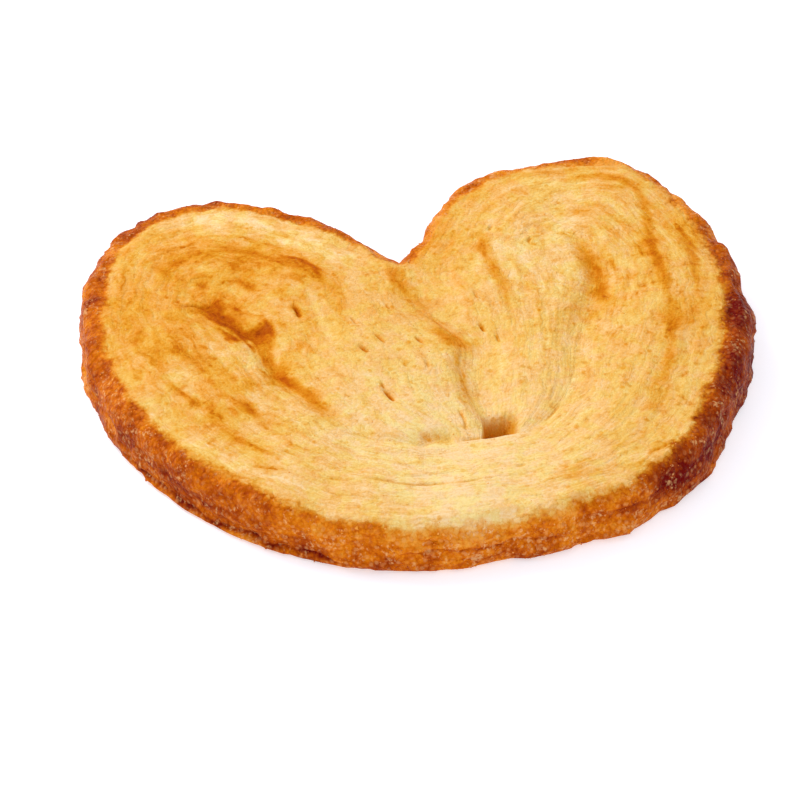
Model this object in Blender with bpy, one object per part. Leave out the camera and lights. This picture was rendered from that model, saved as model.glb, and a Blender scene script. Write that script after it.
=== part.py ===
"""Palmier: one slice of folded puff pastry in the shape of a heart, lying on its flat cut face.

The slice is one long sheet of dough. It starts at the pit, runs up the seam between the two
lobes, round the left lobe, along the front, round the right lobe and down the seam to the pit.
Its outer face is the outline of the heart and both sides of the seam. Its inner face is folded
shut on itself, as one crease in each lobe. The part of a lobe between the seam and the crease is
its leg. The mesh follows the sheet: columns are places along it, and rows are layers, from 0 at
the outer face to 1 at the crease.

Lengths are in millimetres until the mesh is made. +Z is up, and the origin is under the middle
of the slice, on the surface it lies on.
"""
import bmesh
import bpy
import numpy as np

MM = 0.001

# Driving sizes, in millimetres.
WIDTH = 101.0
DEPTH = 86.0
RIM_HEIGHT = 8.8
SHOULDER_RADIUS = 3.0
FOOT_INSET = 0.8
WALL_BULGE = 0.25
FLANGE_REACH = 0.8
DISH_DEPTH = 2.0
DISH_REACH = 17.0
LEG_SWELL = 0.5
FOLD_RELIEF = 0.2
FOLD_COUNT = 3.5
LIP_HEIGHT = 0.25
LIP_REACH = 3.2
VALLEY_DEPTH = 1.7
VALLEY_REACH = 6.5
STEP_WIDTH = 1.5
PIT_DEPTH = 4.4
PIT_WIDTH = 5.2
PIT_LENGTH = 5.6
PIT_WALL = 1.1
CLEFT_FILL = 0.7
CLEFT_FILL_REACH = 5.0
UNEVENNESS = 0.12
WELD_DISTANCE = 1e-6

# How finely the sheet is divided: layers across it, and columns along each stretch.
LAYERS = 20
LAYER_CROWDING = 1.3
SEAM_COLUMNS = 22
SEAM_CROWDING = 1.2
CLEFT_COLUMNS = 3
LEFT_TOP_COLUMNS = 24
RIGHT_TOP_COLUMNS = 26
PATH_STEPS = 24

# Places are shares of half the width and half the depth, from the middle of the slice.
CLEFT = (-0.004, 0.480)
PIT_CORNER = (0.052, -0.525)
OUTLINE = (
    CLEFT, (-0.21, 0.805), (-0.52, 0.995), (-0.875, 0.79), (-1.0, 0.10),
    (-0.806, -0.49), (-0.462, -0.877), (-0.01, -1.0), (0.53, -0.86), (0.845, -0.405),
    (1.0, 0.17), (0.86, 0.855), (0.55, 1.0), (0.245, 0.885), CLEFT,
)
SEAM = (
    PIT_CORNER, (0.072, -0.44), (0.075, -0.36), (0.064, -0.25), (0.065, -0.15),
    (0.084, -0.04), (0.05, 0.085), (0.0, 0.20), (-0.018, 0.33), CLEFT,
)
LEFT_CREASE = (
    (-0.12, -0.53), (-0.27, -0.46), (-0.39, -0.28), (-0.465, -0.11), (-0.485, 0.05),
    (-0.525, 0.19), (-0.605, 0.345),
)
RIGHT_CREASE = (
    (0.20, -0.53), (0.28, -0.445), (0.365, -0.325), (0.435, -0.10), (0.50, 0.07),
    (0.565, 0.255), (0.56, 0.46),
)

# Where the layers turn round the tip of each crease, as shares of the outline's length, and
# where the front lies opposite the ends of the two legs.
LEFT_TURN_START = 0.026
LEFT_TURN_END = 0.251
FRONT_START = 0.468
FRONT_MIDDLE = 0.506
FRONT_END = 0.543
RIGHT_TURN_START = 0.774

# Depth and half width of each crease's groove, at even steps from the pit to its tip.
LEFT_GROOVE_DEPTH = (0.4, 0.4, 0.4, 0.5, 0.8, 1.1, 0.9, 0.3)
LEFT_GROOVE_REACH = (0.9, 1.0, 1.2, 1.4, 1.7, 2.2, 1.8, 1.4)
RIGHT_GROOVE_DEPTH = (0.2, 0.3, 0.3, 0.5, 0.7, 0.9, 0.8, 0.4)
RIGHT_GROOVE_REACH = (1.4, 1.0, 1.6, 2.0, 2.4, 2.4, 2.2, 2.0)

# The wall below the shoulder, ring by ring: share of its height, how far it bulges, and how
# far it stands out in the stretch where a flange runs along the foot, under a groove.
WALL_RINGS = ((0.70, 0.6, -0.2), (0.45, 1.0, -1.0), (0.28, 0.6, -0.5), (0.14, 0.2, 0.4))
FLANGE_START = 0.31
FLANGE_END = 0.43
FLANGE_FADE = 0.03

DOUGH_COLOUR = (0.855, 0.445, 0.115)
DOUGH_ROUGHNESS = 0.62


def clear_scene():
    """Remove every object."""
    for item in list(bpy.data.objects):
        bpy.data.objects.remove(item, do_unlink=True)


def place(shares):
    """Places in millimetres from shares of half the width and half the depth."""
    return np.array(shares, dtype=float) * (WIDTH / 2, DEPTH / 2)


def smooth_path(corners):
    """A Catmull-Rom curve through the corners."""
    corners = place(corners)
    before = 2 * corners[0] - corners[1]
    after = 2 * corners[-1] - corners[-2]
    knots = np.vstack([before, corners, after])
    step = np.linspace(0.0, 1.0, PATH_STEPS, endpoint=False)[:, None]
    pieces = []
    for first, start, end, last in zip(knots, knots[1:], knots[2:], knots[3:]):
        speed = 0.5 * (end - first)
        bend = first - 2.5 * start + 2 * end - 0.5 * last
        twist = 0.5 * (last - first) + 1.5 * (start - end)
        pieces.append(start + step * speed + step**2 * bend + step**3 * twist)
    pieces.append(corners[-1:])
    return np.vstack(pieces)


def path_shares(path):
    """The share of the path's length at each of its points."""
    lengths = np.linalg.norm(np.diff(path, axis=0), axis=1)
    reach = np.concatenate([[0.0], np.cumsum(lengths)])
    return reach / reach[-1]


def along(path, shares):
    """The points at the given shares of the path's length."""
    reach = path_shares(path)
    return np.column_stack([np.interp(shares, reach, path[:, axis]) for axis in (0, 1)])


def nearest(points, path):
    """The distance from each point to the path, and the share of the path's length there."""
    steps = np.diff(path, axis=0)
    offsets = points[:, None, :] - path[:-1]
    shares = np.clip((offsets * steps).sum(axis=2) / (steps**2).sum(axis=1), 0.0, 1.0)
    gaps = np.linalg.norm(offsets - shares[:, :, None] * steps, axis=2)
    closest = gaps.argmin(axis=1)
    rows = np.arange(len(points))
    reach = path_shares(path)
    where = reach[closest] + shares[rows, closest] * np.diff(reach)[closest]
    return gaps[rows, closest], where


def hill(distance, reach):
    """1 at no distance, falling away smoothly over the reach."""
    return np.exp(-(distance / reach) ** 2)


def rise(value, start, end):
    """0 before the start and 1 after the end, with a smooth climb between them."""
    share = np.clip((value - start) / (end - start), 0.0, 1.0)
    return share * share * (3 - 2 * share)


def layer_shares():
    """The rows of the mesh, crowded towards the outer face, where the shoulder rolls over."""
    return np.linspace(0.0, 1.0, LAYERS + 1) ** LAYER_CROWDING


def even(start, end, columns):
    """Shares that go evenly from start to end, without the last one."""
    return np.linspace(start, end, columns, endpoint=False)


def sheet_columns(outline, seam, left_crease, right_crease):
    """The outer and inner end of each column of the sheet, and which columns have a wall."""
    corner = seam[:1]
    layers = layer_shares()[:, None]
    left_end = corner + layers * (left_crease[:1] - corner)
    right_end = corner + layers * (right_crease[:1] - corner)
    left_columns = SEAM_COLUMNS + CLEFT_COLUMNS
    left = np.linspace(0.0, 1.0, left_columns + 1) ** SEAM_CROWDING
    right = np.linspace(0.0, 1.0, SEAM_COLUMNS + 1) ** SEAM_CROWDING
    left_tip = np.repeat(left_crease[-1:], LEFT_TOP_COLUMNS, axis=0)
    right_tip = np.repeat(right_crease[-1:], RIGHT_TOP_COLUMNS, axis=0)
    stretches = (
        (along(seam, right[:-1]), along(left_crease, left[:SEAM_COLUMNS])),
        (along(outline, even(0.0, LEFT_TURN_START, CLEFT_COLUMNS)),
         along(left_crease, left[SEAM_COLUMNS:-1])),
        (along(outline, even(LEFT_TURN_START, LEFT_TURN_END, LEFT_TOP_COLUMNS)), left_tip),
        (along(outline, even(LEFT_TURN_END, FRONT_START, left_columns)),
         along(left_crease, left[:0:-1])),
        (along(outline, even(FRONT_START, FRONT_MIDDLE, LAYERS)), left_end[:0:-1]),
        (along(outline, even(FRONT_MIDDLE, FRONT_END, LAYERS)), right_end[:-1]),
        (along(outline, even(FRONT_END, RIGHT_TURN_START, SEAM_COLUMNS)),
         along(right_crease, right[:-1])),
        (along(outline, even(RIGHT_TURN_START, 1.0, RIGHT_TOP_COLUMNS)), right_tip),
        (along(seam, right[:0:-1]), along(right_crease, right[:0:-1])),
        (corner, right_crease[:1]),
    )
    outer = np.vstack([stretch[0] for stretch in stretches])
    inner = np.vstack([stretch[1] for stretch in stretches])
    walled = np.arange(SEAM_COLUMNS, len(outer) - SEAM_COLUMNS - 1)
    return outer, inner, walled


def groove(points, crease, depths, reaches):
    """The depth of a crease's groove, which follows the two lists from the pit to its tip."""
    distance, share = nearest(points, crease)
    steps = np.linspace(0.0, 1.0, len(depths))
    return np.interp(share, steps, depths) * hill(distance, np.interp(share, steps, reaches))


def dish(points, pit):
    """How far the middle of the slice has sunk, most at the pit."""
    return DISH_DEPTH * hill(np.linalg.norm(points - pit, axis=1), DISH_REACH)


def seam_side(points, seam):
    """How far each point lies to the right of the seam."""
    order = np.argsort(seam[:, 1])
    return points[:, 0] - np.interp(points[:, 1], seam[order, 1], seam[order, 0])


def seam_step(points, seam):
    """The left lobe's raised lip and, beyond the step, the valley on the right lobe."""
    side = seam_side(points, seam)
    front, cleft = seam[0, 1], seam[-1, 1]
    width = STEP_WIDTH * (1 + 1.6 * rise(points[:, 1], front + 8.0, cleft - 6.0))
    beyond = 0.5 * (1 + np.tanh(side / width))
    length = rise(points[:, 1], front - 2.0, front + 6.0)
    length *= 1 - rise(points[:, 1], cleft - 15.0, cleft + 1.0)
    lip = LIP_HEIGHT * (1 - beyond) * hill(side, LIP_REACH)
    valley = VALLEY_DEPTH * beyond * hill(side, VALLEY_REACH)
    return length * (lip - valley)


def pit_hole(points, leg_ends, seam):
    """The pit, steep on its left and at the front, where it meets the band of the front."""
    side = seam_side(points, seam)
    band = points[:, 1] - np.interp(points[:, 0], leg_ends[:, 0], leg_ends[:, 1])
    left = rise(side, 0.0, PIT_WALL)
    right = 1 - rise(side, 0.5 * PIT_WIDTH, 1.2 * PIT_WIDTH)
    front = rise(band, -0.3 * PIT_WALL, 0.7 * PIT_WALL)
    back = 1 - rise(band, 0.6 * PIT_LENGTH, 1.15 * PIT_LENGTH)
    return PIT_DEPTH * left * right * front * back


def unevenness(points):
    """Slow swells, as a baked slice is never quite flat."""
    across, back = points[:, 0], points[:, 1]
    swell = np.sin(0.16 * across + 0.9) * np.cos(0.19 * back - 0.4)
    ripple = np.sin(0.41 * across - 0.23 * back) + np.cos(0.37 * back + 0.15 * across + 1.7)
    return UNEVENNESS * (1.6 * swell + ripple)


def top_heights(points, layer, paths):
    """The height of the upper face at each point."""
    outline, seam, left_crease, right_crease = paths
    edge, _ = nearest(points, outline)
    leg_ends = np.vstack([left_crease[:1], seam[:1], right_crease[:1]])
    to_ends, _ = nearest(points, leg_ends)
    folded = rise(to_ends, 0.0, 4.0) * rise(edge, 0.0, SHOULDER_RADIUS)
    heights = RIM_HEIGHT + LEG_SWELL * folded * np.sin(np.pi * layer) ** 2
    heights += FOLD_RELIEF * folded * np.cos(2 * np.pi * FOLD_COUNT * layer)
    heights -= dish(points, seam[0])
    heights += seam_step(points, seam)
    heights += unevenness(points)
    heights -= groove(points, left_crease, LEFT_GROOVE_DEPTH, LEFT_GROOVE_REACH)
    heights -= groove(points, right_crease, RIGHT_GROOVE_DEPTH, RIGHT_GROOVE_REACH)
    heights -= pit_hole(points, leg_ends, seam)
    roll = np.clip(1 - edge / SHOULDER_RADIUS, 0.0, 1.0)
    drop = SHOULDER_RADIUS * (1 - np.sqrt(1 - roll**2))
    to_cleft = np.linalg.norm(points - seam[-1], axis=1)
    return heights - drop * (1 - CLEFT_FILL * hill(to_cleft, CLEFT_FILL_REACH))


def outward(ring):
    """The direction straight out of the slice at each point of its closed outline."""
    tangent = np.roll(ring, -1, axis=0) - np.roll(ring, 1, axis=0)
    normal = np.column_stack([-tangent[:, 1], tangent[:, 0]])
    return -normal / np.linalg.norm(normal, axis=1)[:, None]


def wall_rings(ring, top):
    """The rings of the wall from under the shoulder to the foot, as lists of points."""
    out = outward(ring)
    share = path_shares(np.vstack([ring, ring[:1]]))[:-1]
    flange = rise(share, FLANGE_START, FLANGE_START + FLANGE_FADE)
    flange *= FLANGE_REACH * (1 - rise(share, FLANGE_END - FLANGE_FADE, FLANGE_END))
    rings = []
    for height, bulge, spread in WALL_RINGS:
        stand = WALL_BULGE * bulge + spread * flange
        rings.append(np.column_stack([ring + out * stand[:, None], top * height]))
    foot = ring - out * FOOT_INSET
    rings.append(np.column_stack([foot, np.zeros(len(ring))]))
    return rings


def add_points(mesh, points):
    """Make a vertex for each point, turning millimetres into metres."""
    return [mesh.verts.new(point * MM) for point in points]


def add_sheet(mesh, points, heights):
    """The upper face, column by column, and the outermost vertex of each column."""
    rows = LAYERS + 1
    sheet = add_points(mesh, np.column_stack([points, heights]))
    columns = [sheet[start:start + rows] for start in range(0, len(sheet), rows)]
    for left, right in zip(columns, columns[1:]):
        for row in range(LAYERS):
            mesh.faces.new((left[row], right[row], right[row + 1], left[row + 1]))
    return [column[0] for column in columns]


def add_wall(mesh, ring_above, rings):
    """The wall below the first ring, closed at the foot by the flat face it lies on."""
    for ring in rings:
        ring_below = add_points(mesh, ring)
        for index in range(len(ring)):
            after = (index + 1) % len(ring)
            corners = (ring_above[index], ring_below[index], ring_below[after], ring_above[after])
            mesh.faces.new(corners)
        ring_above = ring_below
    mesh.faces.new(ring_above)


def build_slice():
    """The whole slice as one closed mesh."""
    paths = [smooth_path(corners) for corners in (OUTLINE, SEAM, LEFT_CREASE, RIGHT_CREASE)]
    outer, inner, walled = sheet_columns(*paths)
    layers = layer_shares()
    plan = outer[:, None, :] + layers[None, :, None] * (inner - outer)[:, None, :]
    points = plan.reshape(-1, 2)
    heights = top_heights(points, np.tile(layers, len(outer)), paths)
    mesh = bmesh.new()
    edge_vertices = add_sheet(mesh, points, heights)
    edge_heights = heights[::len(layers)]
    rings = wall_rings(outer[walled], edge_heights[walled])
    add_wall(mesh, [edge_vertices[column] for column in walled], rings)
    bmesh.ops.remove_doubles(mesh, verts=mesh.verts, dist=WELD_DISTANCE)
    bmesh.ops.recalc_face_normals(mesh, faces=mesh.faces)
    return mesh


def dough_material():
    """Golden baked dough."""
    material = bpy.data.materials.new("baked_dough")
    material.use_nodes = True
    shader = material.node_tree.nodes["Principled BSDF"]
    shader.inputs["Base Color"].default_value = (*DOUGH_COLOUR, 1.0)
    shader.inputs["Roughness"].default_value = DOUGH_ROUGHNESS
    shader.inputs["Metallic"].default_value = 0.0
    return material


def add_pastry():
    """The slice as an object."""
    shape = build_slice()
    mesh = bpy.data.meshes.new("pastry")
    shape.to_mesh(mesh)
    shape.free()
    mesh.shade_smooth()
    mesh.set_sharp_from_angle(angle=np.radians(50.0))
    mesh.materials.append(dough_material())
    pastry = bpy.data.objects.new("pastry", mesh)
    bpy.context.scene.collection.objects.link(pastry)
    return pastry


clear_scene()
add_pastry()
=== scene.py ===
"""Palmier: the looks of one slice of folded, sugared puff pastry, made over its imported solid.

The slice is one long sheet of dough. It starts at the pit, runs up the seam between the two
lobes, round the left lobe, along the front, round the right lobe and down the seam to the pit.
Its outer face is the outline of the heart and both sides of the seam. Its inner face is folded
shut on itself, as one crease in each lobe. The mesh follows the sheet: columns are places along
it, and rows are layers, from 0 at the outer face to 1 at the crease. Browning is painted on the
mesh as one value, from 0 for the palest dough to 1 for the darkest caramel, and the material
turns it into colour.

Lengths are in metres. +Z is up, and the slice lies on the floor at z = 0.
"""
import itertools
import math

import bpy
import numpy as np
from bpy.props import FloatProperty, FloatVectorProperty, IntProperty, PointerProperty
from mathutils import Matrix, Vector


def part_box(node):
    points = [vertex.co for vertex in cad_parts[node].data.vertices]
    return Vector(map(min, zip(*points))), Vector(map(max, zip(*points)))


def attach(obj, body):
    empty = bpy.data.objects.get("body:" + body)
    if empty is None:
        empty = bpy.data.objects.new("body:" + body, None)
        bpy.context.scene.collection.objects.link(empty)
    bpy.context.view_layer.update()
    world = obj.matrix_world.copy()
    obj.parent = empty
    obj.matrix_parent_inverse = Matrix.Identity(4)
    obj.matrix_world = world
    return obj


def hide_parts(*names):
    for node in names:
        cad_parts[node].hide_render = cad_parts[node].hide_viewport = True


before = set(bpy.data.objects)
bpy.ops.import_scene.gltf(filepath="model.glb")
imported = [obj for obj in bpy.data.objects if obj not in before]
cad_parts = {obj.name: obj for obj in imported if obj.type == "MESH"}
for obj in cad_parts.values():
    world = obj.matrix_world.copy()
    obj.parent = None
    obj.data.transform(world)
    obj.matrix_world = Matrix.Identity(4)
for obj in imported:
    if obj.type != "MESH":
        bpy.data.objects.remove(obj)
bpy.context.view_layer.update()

bl_info = {
    "name": "Palmier",
    "version": (1, 0, 0),
    "blender": (4, 5, 0),
    "location": "View3D > Sidebar > Palmier",
    "description": "Makes one slice of folded puff pastry with its crust, sugar and caramel",
    "category": "Add Mesh",
}

MM = 0.001
BODY = "root"

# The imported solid's box, and the heart's outline in it: the wall bulges out beyond the outline,
# and the rim is lower than the highest swell of the top.
LOW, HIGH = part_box("pastry")
WALL_BULGE = 0.25 * MM
RIM_SHARE = 0.892
CENTRE = np.array((LOW + HIGH) / 2)[:2]
HALF = np.array((HIGH - LOW) / 2)[:2] - WALL_BULGE
RIM_HEIGHT = RIM_SHARE * (HIGH.z - LOW.z)

# How finely the sheet is divided: layers across it, and columns along each stretch. The band
# along the front has a column at every few layers of the two legs that end on it.
LAYERS = 120
FRONT_STEP = 4
LAYER_CROWDING = 1.15
SEAM_COLUMNS = 66
SEAM_CROWDING = 1.2
CLEFT_COLUMNS = 8
LEFT_TOP_COLUMNS = 96
RIGHT_TOP_COLUMNS = 104
WALL_RINGS = 32
PATH_STEPS = 24

# Points that agree to this many digits of a millimetre are one point.
WELD_DIGITS = 4

# How bright the light on the top is, and how much white its faint gloss adds. Colours are given
# as they look there, so both are taken out of them again.
LIGHT = 1.2
VEIL = 0.012

# The dough's hue wanders between these two tints.
TINT_ROSY = (1.03, 0.99, 1.16, 1.0)
TINT_SUNNY = (1.01, 1.045, 0.95, 1.0)

# Places are shares of half the width and half the depth, from the middle of the slice.
CLEFT = (-0.004, 0.480)
PIT_CORNER = (0.052, -0.525)
OUTLINE = (
    CLEFT, (-0.21, 0.805), (-0.52, 0.995), (-0.875, 0.79), (-1.0, 0.10),
    (-0.806, -0.49), (-0.462, -0.877), (-0.01, -1.0), (0.53, -0.86), (0.845, -0.405),
    (1.0, 0.17), (0.86, 0.855), (0.55, 1.0), (0.245, 0.885), CLEFT,
)
SEAM = (
    PIT_CORNER, (0.072, -0.44), (0.075, -0.36), (0.064, -0.25), (0.065, -0.15),
    (0.084, -0.04), (0.05, 0.085), (0.0, 0.20), (-0.018, 0.33), CLEFT,
)
LEFT_CREASE = (
    (-0.12, -0.53), (-0.27, -0.46), (-0.39, -0.28), (-0.465, -0.11), (-0.485, 0.05),
    (-0.525, 0.19), (-0.605, 0.345),
)
RIGHT_CREASE = (
    (0.20, -0.53), (0.28, -0.445), (0.365, -0.325), (0.435, -0.10), (0.50, 0.07),
    (0.565, 0.255), (0.56, 0.46),
)

# Where the layers turn round the tip of each crease, as shares of the outline's length, and
# where the front lies opposite the ends of the two legs.
LEFT_TURN_START = 0.026
LEFT_TURN_END = 0.251
FRONT_START = 0.468
FRONT_MIDDLE = 0.506
FRONT_END = 0.543
RIGHT_TURN_START = 0.774

# Depth and half width of each crease's groove, in millimetres, at even steps from the pit to
# its tip.
LEFT_GROOVE_DEPTH = (0.4, 0.4, 0.4, 0.5, 0.8, 1.1, 0.9, 0.3)
LEFT_GROOVE_REACH = (0.9, 1.0, 1.2, 1.4, 1.7, 2.2, 1.8, 1.4)
RIGHT_GROOVE_DEPTH = (0.2, 0.3, 0.3, 0.5, 0.7, 0.9, 0.8, 0.4)
RIGHT_GROOVE_REACH = (1.4, 1.0, 1.6, 2.0, 2.4, 2.4, 2.2, 2.0)

# The wall below the shoulder: shares of its height, how far it bulges there, and how far it
# stands out in the stretch where a flange runs along the foot, under a groove.
WALL_SHARES = (0.0, 0.10, 0.19, 0.31, 0.68, 1.0)
WALL_SWELL = (-3.2, 0.2, 0.6, 1.0, 0.6, 0.0)
WALL_SPREAD = (0.0, 0.4, -0.5, -1.0, -0.2, 0.0)
FLANGE_START = 0.31
FLANGE_END = 0.43
FLANGE_FADE = 0.03

# Where the brown rim ends, in millimetres up the shoulder from where the wall begins, and how
# brown it is, at even steps along the outline from the cleft, round the left lobe and the front,
# to the cleft again. Last, how far its edge is blurred to each side.
RIM_BORDER = (
    3.3, 4.4, 5.0, 5.1, 5.0, 4.8, 4.3, 3.2, 2.9, 2.1, 1.9, 2.6, 3.8, 4.5, 5.7, 5.2, 4.4, 4.8,
    5.0, 4.5, 3.3,
)
RIM_BROWN = (
    0.50, 0.60, 0.68, 0.69, 0.60, 0.56, 0.59, 0.63, 0.60, 0.46, 0.42, 0.55, 0.79, 0.87, 0.90,
    0.72, 0.44, 0.44, 0.51, 0.49, 0.48,
)
RIM_BLUR = (1.0, 0.8, 0.9, 1.5, 1.3, 2.0, 2.2, 1.9, 2.0, 1.2, 1.2)

# Darker and lighter patches of the rim: share of the outline, half width in millimetres, browning.
RIM_PATCHES = (
    (0.427, 3.0, -0.07),
    (0.440, 2.5, -0.05),
    (0.457, 2.4, 0.12),
    (0.585, 5.0, 0.10),
    (0.630, 4.0, 0.10),
)

# Bands, cracks and grooves of the wall: the stretch of the outline from start to end, heights
# at both ends and half the band's height in millimetres, browning, and how far it is sunk. In
# the sunk cracks and grooves the browning is partly painted shade inside them.
WALL_MARKS = (
    ((0.27, 0.36), (4.6, 4.2), 0.9, 0.10, 0.0),
    # The groove above the flange, painted dark: browned crust, and painted shade under the crust
    # that hangs over it.
    ((0.31, 0.44), (1.25, 1.5), 0.32, 0.36, 0.35),
    ((0.31, 0.44), (0.5, 0.5), 0.6, -0.12, 0.0),
    ((0.33, 0.47), (2.8, 3.2), 1.4, 0.12, 0.0),
    ((0.34, 0.40), (4.4, 4.6), 0.5, 0.10, 0.10),
    ((0.36, 0.46), (6.6, 6.2), 0.16, 0.20, 0.15),
    ((0.46, 0.53), (4.1, 3.8), 0.16, 0.22, 0.15),
    ((0.47, 0.51), (2.4, 2.2), 0.14, 0.16, 0.10),
    ((0.47, 0.52), (5.4, 5.6), 0.9, -0.10, 0.0),
    ((0.41, 0.55), (0.9, 0.9), 2.4, 0.20, 0.0),
    ((0.54, 0.64), (5.4, 5.8), 1.3, 0.14, 0.0),
    ((0.55, 0.66), (1.7, 2.0), 1.6, -0.08, 0.0),
    ((0.542, 0.568), (1.1, 1.1), 1.0, 0.18, -0.3),
    ((0.615, 0.645), (1.2, 1.2), 1.0, 0.0, -0.6),
    ((0.60, 0.72), (6.4, 6.4), 1.2, 0.12, 0.0),
    ((0.20, 0.28), (4.8, 5.0), 0.16, 0.14, 0.10),
    ((0.80, 0.90), (4.0, 4.4), 0.16, 0.16, 0.12),
    ((0.06, 0.14), (3.8, 4.2), 0.16, 0.16, 0.12),
)

# How brown the top is before its fields, streaks and spots, and the furthest it can brown.
PALE_TOP = 0.175
DARKEST_TOP = 0.64

# Slow changes of browning over the top: place, reach in millimetres, browning.
BROWN_FIELDS = (
    ((0.0, -0.78), 20.0, -0.11),
    ((-0.12, -0.90), 8.0, -0.04),
    ((0.60, 0.66), 12.0, -0.03),
    ((-0.15, -0.35), 18.0, -0.06),
    ((0.15, -0.25), 16.0, -0.03),
    ((-0.62, 0.50), 16.0, 0.07),
    ((-0.70, -0.10), 13.0, 0.03),
    ((-0.40, 0.55), 8.0, 0.04),
    ((0.25, 0.75), 9.0, 0.03),
    ((0.85, 0.45), 10.0, 0.07),
    ((0.50, 0.30), 14.0, -0.04),
    ((-0.82, 0.25), 10.0, 0.07),
    ((-0.58, -0.25), 10.0, 0.02),
    ((0.82, 0.0), 8.0, 0.05),
    ((0.10, 0.60), 6.0, 0.07),
    ((0.40, 0.46), 7.0, -0.07),
    ((0.34, 0.20), 4.0, -0.05),
    ((0.79, 0.50), 4.0, -0.06),
    ((-0.50, 0.05), 4.0, -0.04),
)

# How blotchy the top is, besides 1 everywhere: place, reach in millimetres, change.
BLOTCH_FIELDS = (
    ((-0.55, 0.50), 18.0, 0.22),
    ((-0.62, -0.10), 16.0, 0.38),
    ((0.60, -0.20), 14.0, -0.35),
    ((0.85, 0.25), 12.0, -0.25),
    ((0.60, 0.30), 18.0, 0.20),
    ((0.0, -0.80), 20.0, -0.45),
    ((0.25, -0.48), 12.0, -0.40),
    ((-0.12, -0.10), 14.0, -0.35),
)

# Where the leaves show as long fine lines, besides a little everywhere: place, reach in
# millimetres.
FAINT_LINES = 0.15
LINED_FIELDS = (
    ((0.0, -0.80), 16.0),
    ((-0.40, -0.72), 12.0),
    ((-0.70, -0.45), 12.0),
    ((0.45, -0.66), 12.0),
    ((0.84, -0.05), 11.0),
    ((0.62, -0.28), 14.0),
    ((0.40, 0.05), 10.0),
    ((0.80, 0.50), 10.0),
    ((-0.45, 0.80), 12.0),
    ((0.50, 0.85), 10.0),
)

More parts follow.
